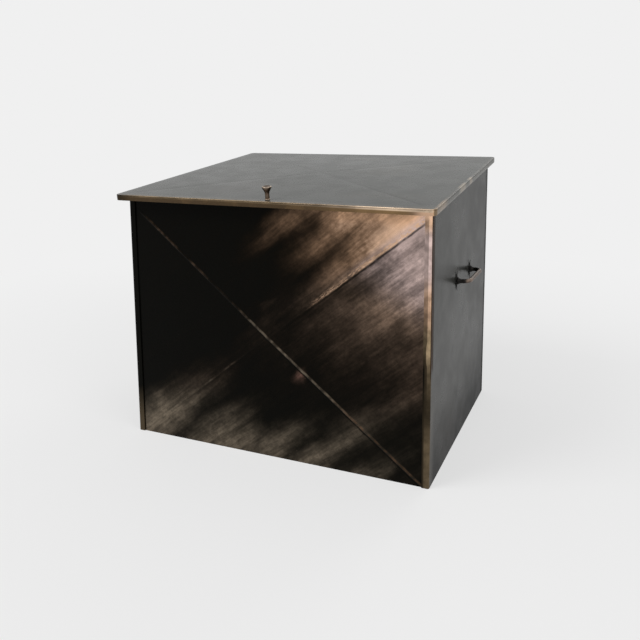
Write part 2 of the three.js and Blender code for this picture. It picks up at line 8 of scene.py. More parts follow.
import bmesh
import bpy
from mathutils import Matrix, Vector, noise
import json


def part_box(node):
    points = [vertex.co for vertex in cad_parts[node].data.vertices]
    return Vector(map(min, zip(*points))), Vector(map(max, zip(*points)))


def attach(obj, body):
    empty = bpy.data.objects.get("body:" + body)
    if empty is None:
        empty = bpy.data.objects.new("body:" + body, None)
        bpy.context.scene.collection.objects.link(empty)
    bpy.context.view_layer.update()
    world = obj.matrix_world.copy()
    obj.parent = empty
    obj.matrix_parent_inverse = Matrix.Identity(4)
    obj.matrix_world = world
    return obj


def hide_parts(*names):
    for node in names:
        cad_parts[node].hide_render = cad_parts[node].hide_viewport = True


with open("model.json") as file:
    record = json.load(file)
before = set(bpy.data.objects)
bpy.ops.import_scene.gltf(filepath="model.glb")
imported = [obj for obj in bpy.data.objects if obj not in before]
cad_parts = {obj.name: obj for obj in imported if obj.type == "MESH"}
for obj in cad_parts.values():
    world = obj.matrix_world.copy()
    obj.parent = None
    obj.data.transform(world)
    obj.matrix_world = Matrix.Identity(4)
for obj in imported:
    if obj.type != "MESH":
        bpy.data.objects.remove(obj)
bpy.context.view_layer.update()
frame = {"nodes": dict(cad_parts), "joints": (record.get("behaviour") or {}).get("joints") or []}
MM = 0.001

# ---- Sheet metal ----
SHEET = 1.5 * MM
SEAM_GAP = 0.3 * MM  # air between pieces that touch
BEND_RADIUS = 3 * MM
HEM_DEPTH = 10 * MM
HEM_THICKNESS = 3.6 * MM
HEM_CLEARANCE = 0.6 * MM  # between the end of a hem and what stands beside it
WAVINESS = 0.25 * MM  # how far thin sheet strays from flat
WAVE_LENGTH = 0.14
WAVE_START = 30 * MM  # the waves grow to their full depth over this distance from a sheet's edge

# ---- Body ----
BODY_LOW, BODY_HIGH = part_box("right_side_panel")
HALF_WIDTH = BODY_HIGH.x
FRONT_Y = BODY_LOW.y
SIDE_END = BODY_HIGH.y
BACK_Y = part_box("back_panel")[1].y
FRONT_PANEL_Y = FRONT_Y + SHEET + SEAM_GAP
FRONT_TOP = 398 * MM
BACK_TOP = 443 * MM
RISE = (BACK_TOP - FRONT_TOP) / (BACK_Y - FRONT_Y)
SLOPE = atan(RISE)
FRONT_FLANGE = 11 * MM
REAR_FLANGE = 15 * MM

# ---- Cross-break of the front ----
FIELD = (238.4 * MM, 2 * MM, 376 * MM)  # half width, foot and top
FRONT_BULGE = 5 * MM
CREASE_HEIGHT = 1.2 * MM
CREASE_HALF_WIDTH = 2.6 * MM

# ---- Lid ----
LID_ROUND = 0.7 * MM  # of the sheet's edge
LID_CORNER = 8 * MM
CORNER_STEPS = 8
EDGING = 2 * MM
LID_BULGE = 3 * MM
LID_FIELD_MARGIN = 14 * MM
LID_CREASE = 0.25 * MM
LID_CREASE_HALF_WIDTH = 9 * MM

HINGE = Vector(frame["joints"][0]["pos_m"])
LID_PLACE = Matrix.Translation(HINGE) @ Matrix.Rotation(SLOPE, 4, "X")


def top_height(y):
    """Height of the body's sloping top plane."""
    return FRONT_TOP + (y - FRONT_Y) * RISE


def box_in(node, place):
    """Lowest and highest corner of a CAD node in the frame that place puts into the row's frame."""
    into = place.inverted()
    points = [into @ v.co for v in frame["nodes"][node].data.vertices]
    low = Vector(min(p[i] for p in points) for i in range(3))
    high = Vector(max(p[i] for p in points) for i in range(3))
    return low, high


# ---- Node trees ----

def linear(*colour):
    """A colour given as 0 to 255 steps of a screen, as the shader's linear numbers."""
    def channel(value):
        value /= 255
        return value / 12.92 if value <= 0.04045 else ((value + 0.055) / 1.055) ** 2.4
    return tuple(channel(value) for value in colour) + (1.0,)


NOISE_SPAN = (0.32, 0.68)  # most of a noise's values lie in between


def sign(operation):
    """What a sign such as + does between a Value and a number or another Value."""
    return lambda self, other: self.net.math(operation, self, other)


class Value:
    """A number or a colour in a node tree; the usual signs reckon with the numbers."""

    __add__ = __radd__ = sign("ADD")
    __mul__ = __rmul__ = sign("MULTIPLY")
    __sub__ = sign("SUBTRACT")
    __truediv__ = sign("DIVIDE")

    def __init__(self, net, socket):
        self.net = net
        self.socket = socket

    def __rsub__(self, other):
        return self.net.math("SUBTRACT", other, self)

    def __abs__(self):
        return self.net.math("ABSOLUTE", self)

    def clamped(self):
        return self.net.math("MULTIPLY", self, 1.0, clamp=True)

    def step(self, low, high, out_low=0.0, out_high=1.0):
        """Smooth passage from out_low to out_high as the value goes from low to high."""
        node = self.net.nodes.new("ShaderNodeMapRange")
        node.interpolation_type = "SMOOTHSTEP"
        ends = {"From Min": low, "From Max": high, "To Min": out_low, "To Max": out_high}
        return self.net.feed(node, {"Value": self, **ends})

    def near(self, middle, reach):
        """1 where the value is middle, falling to 0 where it is off by reach."""
        return abs(self - middle).step(reach, reach * 0.2)

    def varied(self, spread):
        """Noise made into a factor from 1 - spread to 1 + spread."""
        return self.step(*NOISE_SPAN, 1 - spread, 1 + spread)

    def gains(self, *spans):
        """What the value gains in passing spans, each given as low, high and gain."""
        return sum(self.step(low, high, 0.0, gain) for low, high, gain in spans)


class Net:
    """Short names for building the nodes of a material or a world."""

    def __init__(self, owner):
        owner.use_nodes = True
        self.owner = owner
        self.nodes = owner.node_tree.nodes
        self.links = owner.node_tree.links

    def put(self, socket, value):
        if isinstance(value, Value):
            self.links.new(value.socket, socket)
        else:
            socket.default_value = value

    def feed(self, node, inputs, output=0):
        """Gives a node's inputs their values and returns one of its outputs.

        node is a node that has been set up already, or else the kind of a new one."""
        if isinstance(node, str):
            node = self.nodes.new(node)
        for socket, value in inputs.items():
            self.put(node.inputs[socket], value)
        return Value(self, node.outputs[output])

    def math(self, operation, *values, clamp=False):
        node = self.nodes.new("ShaderNodeMath")
        node.operation = operation
        node.use_clamp = clamp
        return self.feed(node, dict(enumerate(values)))

    def mixed_shader(self, share, first, second):
        return self.feed("ShaderNodeMixShader", {0: share, 1: first, 2: second})


class Finish(Net):
    """The nodes of a new material that ends in the usual shader."""

    def __init__(self, name):
        super().__init__(bpy.data.materials.new(name))
        self.shader = self.nodes["Principled BSDF"]
        self.place = self.feed("ShaderNodeTexCoord", {}, "Object")

    def set(self, name, value):
        self.put(self.shader.inputs[name], value)

    def axes(self, vector):
        node = self.nodes.new("ShaderNodeSeparateXYZ")
        self.put(node.inputs[0], vector)
        return [Value(self, output) for output in node.outputs]

    def moved(self, **changes):
        """The place on the object after a Location or Rotation."""
        return self.feed("ShaderNodeMapping", {"Vector": self.place, **changes})

    def noise(self, scale, detail=3.0, rough=0.5, vector=None):
        given = {"Vector": vector or self.place, "Scale": scale, "Detail": detail, "Roughness": rough}
        return self.feed("ShaderNodeTexNoise", given, "Fac")

    def flat_noise(self, u, v, scale, detail, rough=0.5):
        """Noise over two coordinates."""
        joined = self.feed("ShaderNodeCombineXYZ", {0: u, 1: v})
        return self.noise(scale, detail, rough, joined)

    def blend(self, factor, low, high):
        node = self.nodes.new("ShaderNodeMix")
        node.data_type = "RGBA"
        return self.feed(node, {0: factor, 6: low, 7: high}, 2)

    def bump(self, height, strength, distance):
        given = {"Height": height, "Strength": strength, "Distance": distance}
        self.set("Normal", self.feed("ShaderNodeBump", given))


def length(a, b):
    return a.net.math("SQRT", a * a + b * b)


# ---- Patina and painted light ----

BLACK = linear(0, 0, 0)
LACQUER = linear(8, 8, 6)
# painted shadow line along the right front bend, in dark brown
BEND_SHADOW_BROWN = linear(46, 31, 19)
RIM_BROWN = linear(58, 48, 36)
# painted sheen: grey lacquer of the side faces and the lid, lighter than the front's, standing in for
# their grazing reflection
PAINTED_SHEEN_GREY = linear(50, 50, 47)
LID_PAINTED_SHEEN_GREY = linear(74, 75, 72)
SATIN_DARK = linear(30, 30, 26)
CREAM = linear(246, 218, 188)
PEACH = linear(244, 201, 168)
COPPER = linear(238, 190, 152)
MAUVE = linear(240, 212, 204)
BROWN = linear(236, 198, 170)
TAN = linear(238, 216, 188)
GOLD = linear(236, 190, 134)
STRAW = linear(238, 208, 166)
ROSE = linear(238, 182, 162)
METAL_SHARE = 0.65  # mean brightness of bare copper
FRONT_SHINE = 0.033  # how strongly the lacquer shines seen straight on
SATIN_SHINE = 0.07
BRUSH_ANGLE = atan2(FIELD[2] - FIELD[1], 2 * FIELD[0])

# Patches of the front rubbed through to copper: x and z of the middle and the reach along and across
# the brush strokes, all in millimetres, and the share of the lacquer that is gone. The strong patches
# at the top right are partly a painted highlight.
FRONT_RUB_AND_HIGHLIGHT_PATCHES = [
    (218, 376, 95, 40, 0.62),
    (150, 388, 130, 32, 0.34),
    (62, 390, 120, 25, 0.12),
    (176, 356, 100, 32, 0.19),
    (132, 304, 105, 23, 0.16),
    (252, 318, 125, 78, 0.42),
    (190, 246, 122, 62, 0.095),
    (240, 196, 95, 36, 0.055),
    (112, 246, 85, 28, 0.034),
    (72, 205, 110, 34, 0.010),
    (222, 128, 100, 26, 0.036),
    (136, 66, 70, 28, 0.045),
    (50, 137, 14, 10, 0.12),
    (7, 240, 20, 7, 0.022),
    (-8, 205, 100, 30, 0.008),
    (-210, 24, 165, 44, 0.15),
    (-115, 8, 120, 32, 0.13),
    (-62, 8, 60, 22, 0.16),
    (-15, 4, 110, 28, 0.14),
    (66, 0, 90, 26, 0.15),
    (150, 0, 80, 22, 0.075),
]
ROSE_SPOT = (50, 137, 24, 18, 1.0)  # round the small bright patch right of the middle

# Gains in the bare share of the right side panel's front strip, between two heights: in the half
# beside the bend, and in the half beside the front panel. Their growth towards the top is partly
# a painted highlight.
OUTER_GAINS = [(0.112, 0.157, 0.08), (0.163, 0.190, 0.28), (0.205, 0.31, 0.42)]
INNER_GAINS = [(0.115, 0.140, 0.022), (0.165, 0.215, 0.08), (0.215, 0.29, 0.27)]

# The same along the lid's front edge, between two x: on its upper arris and on the skirt below. On the
# arris and towards the right end they are partly a painted highlight.
ARRIS_RUB_AND_HIGHLIGHT_GAINS = [(-0.252, -0.21, 0.13), (0.08, 0.22, 0.55)]
SKIRT_GAINS = [(-0.26, -0.22, 0.010), (0.04, 0.20, 0.15), (0.225, 0.245, 0.45)]
LID_SIDE_SPOTS = [(-0.405, 0.012), (-0.372, 0.036), (-0.250, 0.030), (-0.195, 0.016)]  # place, reach
LID_MARKS = [(-0.09, -0.33, 0.014), (0.12, -0.14, 0.012)]  # x, place along the slope, bare share


def brightness(colour):
    return sum(colour[:3]) / 3


def brushed(x, z, along, across):
    """Coordinates along and across the brush strokes, counted in the lengths along and across."""
    c, s = cos(BRUSH_ANGLE), sin(BRUSH_ANGLE)
    return x * (c / along) + z * (s / along), x * (-s / across) + z * (c / across)


def patch(x, z, mark):
    """A soft-edged patch that lies along the brush strokes."""
    middle_x, middle_z, along, across = (size * MM for size in mark[:4])
    fall = length(*brushed(x - middle_x, z - middle_z, along, across)).step(1.5, 0.0)
    return fall * fall * mark[4]


def strokes(x, z, along, across, detail=5.0):
    """Noise drawn out along the brush strokes; along and across are lengths in metres."""
    return x.net.flat_noise(*brushed(x, z, along, across), 1.0, detail, 0.6)


def from_crease(x, z, direction, field=FIELD):
    """Distance above the falling (1) or climbing (-1) crease of a field, square to it."""
    half, low, high = field
    run = hypot(half, (high - low) / 2)
    return x * (direction * (high - low) / 2 / run) + (z - (low + high) / 2) * (half / run)


def loosened(value, scale, reach, offset):
    """A coordinate that wanders by up to half of reach, so that edges aren't ruled lines."""
    net = value.net
    wander = net.noise(scale, 4.0, vector=net.moved(Location=(offset, offset * 2, offset * 3)))
    return value + (wander - 0.5) * reach


def rubbed_finish(net, bare, lacquer, level, metal, shine, rough_low, rough_high):
    """Lacquer where bare is 0 and metal where it is 1; in between both lie side by side.

    level is the lacquer's brightness, and shine how strongly it shines."""
    share = bare * METAL_SHARE
    rest = (1.0 - bare) * level
    net.set("Base Color", net.blend(bare, lacquer, metal))
    net.set("Metallic", share / (share + rest))
    net.set("Roughness", net.noise(26.0).step(0.3, 0.7, rough_low, rough_high))
    net.set("Specular IOR Level", shine)


# The numbers given to step, near and gains below are places on the box in metres, from where to where
# a tone changes, or the values of a noise between which it does.

def front_cover(x, z):
    """Share of bare copper on the front's faces, without the creases; what grows towards the right and the
    top right is partly a painted highlight.
    """
    net = x.net
    loose_x = loosened(x, 18.0, 0.05, 3.0)
    loose_z = loosened(z, 18.0, 0.035, 7.0)
    ground = sum(patch(loose_x, loose_z, mark) for mark in FRONT_RUB_AND_HIGHLIGHT_PATCHES)
    haze = x.step(-0.10, 0.24, 0.0008, 0.006)
    under_lid = loose_z.step(0.362, 0.388) * x.step(0.05, 0.10, 0.0, 0.17) * x.step(0.21, 0.17)
    wide = strokes(x, z, 110 * MM, 15 * MM, 3.0).varied(0.38)
    fine = strokes(x, z, 22 * MM, 3.2 * MM).varied(0.20)
    cloud = net.noise(40.0, 5.0, 0.6).varied(0.28)
    mottle = net.noise(210.0, 4.0, 0.6).varied(0.16)
    even = ground.step(0.2, 0.75, 0.0, 0.72)
    texture = wide * fine * cloud * mottle * (1.0 - even) + even
    flecks = strokes(x, z, 8 * MM, 3.5 * MM, 3.0).step(0.66, 0.76)
    low_right = z.step(0.05, 0.0, 0.0, 0.12) * x.step(-0.05, 0.08)
    return (ground + (haze + under_lid)) * texture + flecks * low_right


def front_creases(x, z):
    """Rubbed crests of the two creases, and a painted shadow in the groove under each of them."""
    net = x.net
    falling = loosened(from_crease(x, z, 1.0), 55.0, 1.8 * MM, 1.0)
    climbing = loosened(from_crease(x, z, -1.0), 55.0, 2.2 * MM, 4.0)
    broken = net.noise(30.0).step(0.38, 0.58, 0.12, 1.0)
    worn = net.noise(110.0, 4.0).step(0.35, 0.65, 0.35, 1.5)
    faint = x.step(-0.235, -0.20, 0.0, 0.035) * broken
    strong = x.step(-0.06, 0.0, 0.0, 0.10) * x.step(0.03, 0.17, 0.9, 0.20)
    crest = falling.near(0.2 * MM, 2.9 * MM) * (faint + strong) * worn
    left = x.step(-0.20, -0.16) * x.step(-0.03, -0.09, 0.0, 0.035) * broken
    right = x.step(0.04, 0.11, 0.0, 0.13) * x.step(0.16, 0.21, 1.0, 0.1) * broken
    crest += climbing.near(1.4 * MM, 2.2 * MM) * (left + right) * worn
    speckles = strokes(x, z, 7 * MM, 2 * MM, 3.0).step(0.42, 0.62, 0.0, 0.26)
    right_half = x.step(0.06, 0.09) * x.step(0.20, 0.12, 0.3, 1.0)
    crest += speckles * climbing.near(2.6 * MM, 4.4 * MM) * right_half
    # painted shadow under each crease
    groove = falling.near(-3.0 * MM, 2.2 * MM) * x.step(-0.06, 0.05, 0.2, 0.85)
    groove += climbing.near(-1.9 * MM, 2.4 * MM) * x.step(0.02, 0.14, 0.15, 0.8)
    return crest, groove * worn.step(0.35, 1.0, 0.75, 1.0)


def front_metal(x, z, bare, crest):
    """Colour of the bare copper: tan at the foot, brown, then mauve, and copper at the top right, turning
    peach where it is thickest; that copper and peach are partly painted light on the top facet and a
    painted highlight.
    """
    net = x.net
    metal = net.blend(z.step(0.15, 0.05), BROWN, TAN)
    metal = net.blend((z + x * 0.5).step(0.33, 0.40), metal, MAUVE)
    # the facet above the climbing crease is painted copper and peach, partly as painted light
    lit_top_facet = from_crease(x, z, -1.0).step(-0.002, 0.016) * z.step(0.24, 0.32)
    painted_highlight_peach = bare.step(0.15, 0.5) * z.step(0.380, 0.362)
    metal = net.blend(lit_top_facet, metal, net.blend(painted_highlight_peach, COPPER, PEACH))
    metal = net.blend(patch(x, z, ROSE_SPOT), metal, ROSE)
    on_crest = net.blend(x.step(0.08, 0.16), TAN, net.blend(z.step(0.15, 0.25), COPPER, PEACH))
    on_crest = net.blend(z.step(0.21, 0.24), on_crest, PEACH)
    return net.blend(crest.step(0.01, 0.04), metal, on_crest)


def front_patina():
    net = Finish("front_patina")
    x, _, z = net.axes(net.place)
    crest, groove = front_creases(x, z)
    # the painted shadow under the creases takes the copper away there, leaving black lacquer
    kept = (1.0 - groove).clamped()
    bare = ((front_cover(x, z) + crest) * kept).clamped()
    metal = front_metal(x, z, bare, crest)
    rubbed_finish(net, bare, LACQUER, brightness(LACQUER), metal, FRONT_SHINE, 0.24, 0.34)
    net.bump(strokes(x, z, 30 * MM, 1.2 * MM), 0.08, 0.12 * MM)
    return net.owner


def flange_rub(reach, up):
    """Bare share on the right side panel's front strip, and where the bend beside it is painted dark brown
    as a shadow line.

    reach is the distance from the box's middle and up the height."""
    net = reach.net
    # painted shadow line along the rounded bend, left with little copper
    bend = reach.step(HALF_WIDTH - 1.3 * MM, HALF_WIDTH - 0.8 * MM) * up.step(0.150, 0.170)
    foot = up.step(0.118, 0.05, 0.0, 0.09)
    hook = up.step(0.170, 0.182) * up.step(0.212, 0.198)
    inner_edge = hook * (-1.4 * MM) + (HALF_WIDTH - 5.6 * MM)
    outer = (reach - inner_edge).step(-0.7 * MM, 0.7 * MM) * (up.gains(*OUTER_GAINS) + foot + 0.018)
    inner = reach.step(HALF_WIDTH - 10.2 * MM, HALF_WIDTH - 7.0 * MM)
    inner += up.step(0.165, 0.185) * (1.0 - inner)
    inner = inner * (up.gains(*INNER_GAINS) + foot + 0.012) + up.step(0.375, 0.392, 0.0, 0.3)
    rub = net.math("MAXIMUM", outer, inner) * net.noise(90.0, 4.0).varied(0.25)
    return rub * (1.0 - bend) + bend * 0.012, bend


def side_painted_reflection(y, z, reach):
    """Painted reflection: how light the satin is, darker at the foot and towards the rear of the side
    faces and lighter in a band at mid height, as what they mirror would make it.
    """
    foot = z.step(0.0, 0.18, 0.15, 1.0)
    rear = y.step(SIDE_END - 17 * MM, SIDE_END - 9 * MM, 1.0, 0.45) * y.step(-0.05, 0.15, 1.0, 0.72)
    waist = (z + y * 0.25).near(0.13, 0.12) * 0.5 + 1.0
    on_side = reach.step(HALF_WIDTH - 2 * MM, HALF_WIDTH - 1 * MM)
    return on_side * (foot * rear * waist - 1.0) + 1.0


def side_patina():
    net = Finish("side_patina")
    x, y, z = net.axes(net.place)
    reach = abs(x)
    right = x.step(0.0, 0.01)
    up = loosened(z, 22.0, 0.04, 5.0)
    facing = y.step(FRONT_Y + 3.4 * MM, FRONT_Y + 2.6 * MM)
    rub, bend = flange_rub(reach, up)
    left_foot = (1.0 - right) * up.step(0.085, 0.02, 0.0, 0.09)
    rub = (rub * right + left_foot + 0.001) * facing
    low_front = y.step(FRONT_Y + 26 * MM, FRONT_Y + 4 * MM) * up.step(0.18, 0.08, 0.0, 0.02)
    smear = net.noise(5.0, 4.0).step(0.52, 0.75) * 0.008
    bare = (rub + (smear + low_front * right)).clamped()
    # painted shadow of the bend: dark brown lacquer with less shine
    brown = bend * right * y.step(FRONT_Y + 15 * MM, FRONT_Y + 9 * MM) * up.step(0.155, 0.175)
    front_side = net.math("MAXIMUM", facing, brown)
    # the side's lacquer is the painted-sheen grey, scaled by a painted reflection that is darker at the
    # foot and rear; its shine follows it
    tone = side_painted_reflection(y, z, reach)
    lacquer = net.blend(front_side, net.blend(tone, BLACK, PAINTED_SHEEN_GREY), net.blend(brown, LACQUER, BEND_SHADOW_BROWN))
    level = front_side * (brightness(LACQUER) - brightness(PAINTED_SHEEN_GREY)) + brightness(PAINTED_SHEEN_GREY)
    metal = net.blend(z.step(0.31, 0.27), MAUVE, PEACH)
    metal = net.blend(z.step(0.25, 0.21), metal, STRAW)
    metal = net.blend(z.step(0.355, 0.375), metal, PEACH)
    shine = (tone * 0.8 + 0.1) * SATIN_SHINE * (1.0 - front_side)
    shine += front_side * (brown * -0.6 + 1.0) * FRONT_SHINE
    rubbed_finish(net, bare, lacquer, level, metal, shine, 0.27, 0.33)
    return net.owner


def lid_coordinates(net):
    """x, the distance along the slope and the height square to it, in the lid's own frame."""
    x, along, up = net.axes(net.moved(Rotation=(-SLOPE, 0, 0)))
    shift = LID_PLACE.inverted().translation
    return x, along + shift.y, up + shift.z


def lid_smears(x, along):
    """Faint rubbing on the lid's top: drawn-out clouds and two marks."""
    smear = x.net.flat_noise(x * 2.0, along * 8.0, 1.4, 4.0).step(0.52, 0.78) * 0.012
    for mark_x, mark_y, share in LID_MARKS:
        smear += length((x - mark_x) * 14.0, (along - mark_y) * 11.0).step(1.0, 0.0, 0.0, share)
    return smear


def lid_fold_shade(x, along):
    """How much painted shade darkens the lid along the two folds of its cross-break."""
    low, high = LID_BOX
    field = (high.x - LID_FIELD_MARGIN, low.y + LID_FIELD_MARGIN, high.y - LID_FIELD_MARGIN)
    fall = from_crease(x, along, 1.0, field).near(0.0, 4 * MM) * x.step(0.05, 0.18, 0.15, 0.55)
    climb = from_crease(x, along, -1.0, field).near(0.0, 4 * MM) * 0.15
    return ((fall + climb) * abs(x).step(field[0], field[0] - 20 * MM)).clamped()


def lid_front_rub_and_highlight(x, arris):
    """Bare share on the lid's front edge, on the arris and on the skirt below it; on the arris and towards
    the right end it is partly a painted highlight.
    """
    patchy = x.net.noise(30.0, 4.0)
    arris_rub_and_highlight = x.gains(*ARRIS_RUB_AND_HIGHLIGHT_GAINS) * patchy.step(0.30, 0.60, 0.6, 1.15)
    skirt = x.gains(*SKIRT_GAINS) + patchy.step(0.48, 0.60) * x.step(-0.21, -0.13, 0.0, 0.045)
    return arris * arris_rub_and_highlight + (1.0 - arris) * skirt


def lid_side_rub(x, along):
    """Bare share along the lid's right edge, a little everywhere and more in some spots."""
    loose = loosened(along, 40.0, 0.012, 9.0)
    spots = sum(loose.near(place, reach) for place, reach in LID_SIDE_SPOTS)
    return x.step(0.0, 0.01) * (spots * 0.13 + 0.02)


def lid_metal(x, along, front, arris, near_edge, glow):
    """Colour of the bare copper: straw on the lid, gold towards the front, cream on its arris, where it is
    partly a painted highlight.
    """
    net = x.net
    inside = net.blend(x.step(0.0, 0.04), MAUVE, STRAW)
    metal = net.blend(near_edge, inside, net.blend(along.step(-0.30, -0.36), STRAW, GOLD))
    metal = net.blend(glow.step(0.0, 0.01), metal, GOLD)
    arris_rub_and_highlight = net.blend(x.step(0.0, 0.16), STRAW, CREAM)
    skirt = net.blend(x.step(0.215, 0.235), GOLD, PEACH)
    return net.blend(front, metal, net.blend(arris, skirt, arris_rub_and_highlight))


def lid_patina():
    net = Finish("lid_patina")
    x, along, up = lid_coordinates(net)
    low, high = LID_BOX
    sheet_top = low.z + SHEET
    front = along.step(low.y + 2.4 * MM, low.y + 0.9 * MM)
    edge_height = up + x.step(-0.10, 0.25, 0.0, 1.6 * MM)
    arris = edge_height.step(sheet_top - 3.4 * MM, sheet_top - 2.0 * MM)
    near_edge = abs(x).step(high.x - 5.0 * MM, high.x - 3.0 * MM)
    glow = along.step(low.y + 16 * MM, low.y + 3 * MM, 0.0, 0.030)
    rub = front * lid_front_rub_and_highlight(x, arris) + near_edge * lid_side_rub(x, along)
    bare = (rub + lid_smears(x, along) + glow).clamped()
    metal = lid_metal(x, along, front, arris, near_edge, glow)
    left_end = x.step(-0.250, -0.225, 1.0, 0.0)
    rim = net.blend(left_end, RIM_BROWN, SATIN_DARK)
    # lid lacquer: the painted-sheen grey, darkened along the folds by painted shade
    lacquer = net.blend(front, net.blend(lid_fold_shade(x, along), LID_PAINTED_SHEEN_GREY, PAINTED_SHEEN_GREY), rim)
    level = front * (brightness(RIM_BROWN) - brightness(LID_PAINTED_SHEEN_GREY)) + brightness(LID_PAINTED_SHEEN_GREY)
    shine = (1.0 - left_end * front * 0.7) * SATIN_SHINE
    rubbed_finish(net, bare, lacquer, level, metal, shine, 0.25, 0.30)
    return net.owner


def plain_metal(name, colour, metallic, rough, grain, depth, rubbed=None, within=None):
    """A metal with a fine grain; the given lighter colour goes on its high spots where within lets them
    wear, and is partly a painted highlight.

    rough is the least and the most roughness, grain the scale of the grain and depth its depth."""
    net = Finish(name)
    shade = tuple(channel * 0.72 for channel in colour[:3]) + (1.0,)
    base = net.blend(net.noise(grain / 6, 4.0).step(0.35, 0.65), shade, colour)
    if rubbed:
        wear = net.nodes.new("ShaderNodeAttribute")
        wear.attribute_name = "wear"
        worn = net.feed(wear, {}, "Fac").step(0.15, 0.9)
        worn *= net.noise(grain, 4.0).step(0.34, 0.60, 0.35, 1.0)
        base = net.blend(worn * within(net), base, rubbed)
    net.set("Base Color", base)
    net.set("Metallic", metallic)
    net.set("Roughness", net.noise(grain).step(0.3, 0.7, *rough))
    net.bump(net.noise(grain, 2.0), 0.25, depth)
    return net.owner


def upward_painted_highlight(net):
    """Painted highlight: 1 on faces that look up, 0.6 elsewhere, so that the lighter worn colour gathers
    where light falls from above.
    """
    normal = net.feed("ShaderNodeNewGeometry", {}, "Normal")
    return net.axes(normal)[2].step(0.3, 0.8, 0.6, 1.0)


def grip_wear_and_highlight(net):
    """Only the part of a handle that a hand takes hold of is worn; its lighter colour there is partly a
    painted highlight.
    """
    return abs(net.axes(net.place)[0]).step(HALF_WIDTH + 13 * MM, HALF_WIDTH + 19 * MM)


# ---- Meshes ----

def point_outward(bm, picks, direction):
    """Turns all faces over if the one nearest to the point picks doesn't face along direction."""
    bm.normal_update()
    face = min(bm.faces, key=lambda f: (f.calc_center_median() - Vector(picks)).length)
    if face.normal.dot(Vector(direction)) < 0:
        bmesh.ops.reverse_faces(bm, faces=bm.faces[:])
    bm.normal_update()


LEAST_FACE = 1e-9  # square metres
MITRE = 0.6  # limits how far a corner is pushed in when a sheet is given its thickness


def thicken(bm, thickness, inner_material):
    """Gives an open surface a second skin on its inner side and closes the edges between them."""
    bmesh.ops.remove_doubles(bm, verts=bm.verts[:], dist=0.02 * MM)
    bmesh.ops.dissolve_degenerate(bm, edges=bm.edges[:], dist=0.02 * MM)
    bm.normal_update()
    faces = bm.faces[:]
    rims = [edge for edge in bm.edges if len(edge.link_faces) == 1]
    inner = {}
    for v in bm.verts[:]:
        facing = [f.normal.dot(v.normal) for f in v.link_faces if f.calc_area() > LEAST_FACE]
        depth = thickness / max(MITRE, min(facing, default=1.0))
        inner[v] = bm.verts.new(v.co - v.normal * depth)
    for face in faces:
        bm.faces.new([inner[v] for v in reversed(face.verts)]).material_index = inner_material
    for edge in rims:
        loop = edge.link_loops[0]
        a, b = loop.vert, loop.link_loop_next.vert
        bm.faces.new((b, a, inner[a], inner[b]))
    bm.normal_update()


def rub(bm, reach):
    """Stores how far each point stands out from its neighbours, as wear from 0 to 1."""
    layer = bm.verts.layers.float.new("wear")
    for v in bm.verts:
        out = 0.0
        for edge in v.link_edges:
            step = edge.other_vert(v).co - v.co
            out -= step.dot(v.normal) / max(step.length, 1e-9)
        v[layer] = max(0.0, min(1.0, out / max(1, len(v.link_edges)) / reach))


WEAR_REACH = 0.12  # how steeply a point stands out from its neighbours where it is fully worn


def make(name, bm, materials, body, node, thickness=0.0, outward=None, crisp=radians(32)):
    """Turns a bmesh into a finished piece that stands for a CAD node and rides on its body.

    For a sheet, outward is a place on it and the direction in which it faces there."""
    bmesh.ops.recalc_face_normals(bm, faces=bm.faces[:])
    if outward:
        point_outward(bm, *outward)
    if thickness:
        thicken(bm, thickness, len(materials) - 1)
    bm.normal_update()
    rub(bm, WEAR_REACH)
    for face in bm.faces:
        face.smooth = True
    for edge in bm.edges:
        edge.smooth = len(edge.link_faces) == 2 and edge.calc_face_angle() < crisp
    mesh = bpy.data.meshes.new(name)
    bm.to_mesh(mesh)
    bm.free()
    for material in materials:
        mesh.materials.append(material)
    piece = bpy.data.objects.new(name, mesh)
    bpy.context.scene.collection.objects.link(piece)
    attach(piece, body)
    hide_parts(node)


def wave(x, z, seed):
    """Small, smooth departure of a sheet from flat."""
    return noise.noise(Vector((x / WAVE_LENGTH, z / WAVE_LENGTH, seed)))


def spaced(low, high, step):
    count = max(1, round((high - low) / step))
    return [low + (high - low) * i / count for i in range(count + 1)]


def grid_faces(bm, rows):
    for low, high in zip(rows, rows[1:]):
        for i in range(len(low) - 1):
            bm.faces.new((low[i], low[i + 1], high[i + 1], high[i]))


def crease_grid(half_x, low, high, fine, coarse, reach):
    """A flat grid of diamonds whose lines run along the two diagonals of a field, closer near them.

    Returns the bmesh in the XZ plane with the field's middle as origin."""
    half_z = (high - low) / 2
    run = hypot(half_x, half_z)
    falling = Vector((half_x, 0, -half_z)) / run
    rising = Vector((half_x, 0, half_z)) / run
    sine = falling.cross(rising).length
    near = [step / sine for step in fine]
    far = spaced(near[-1], run * reach, coarse)[1:]
    positive = near + far
    offsets = [-value for value in reversed(positive)] + [0.0] + positive
    bm = bmesh.new()
    rows = [[bm.verts.new(falling * a + rising * b) for a in offsets] for b in offsets]
    grid_faces(bm, rows)
    return bm


def clip(bm, points, keep=False):
    """Cuts a mesh in the XZ plane along the edges of a convex outline, given as (x, z) anticlockwise."""
    for (x, z), (x2, z2) in zip(points, points[1:] + points[:1]):
        outward = Vector((z2 - z, 0, x - x2))
        bmesh.ops.bisect_plane(
            bm,
            geom=bm.verts[:] + bm.edges[:] + bm.faces[:],
            dist=1e-7,
            plane_co=(x, 0, z),
            plane_no=outward,
            clear_outer=not keep,
        )


def pyramid_share(x, z, half_x, half_z):
    """1 in the middle of a cross-broken field, falling evenly to 0 at its edges."""
    return max(0.0, 1 - max(abs(x) / half_x, abs(z) / half_z))


def bead(distance, half_width):
    if distance >= half_width:
        return 0.0
    return 0.5 + 0.5 * cos(pi * distance / half_width)


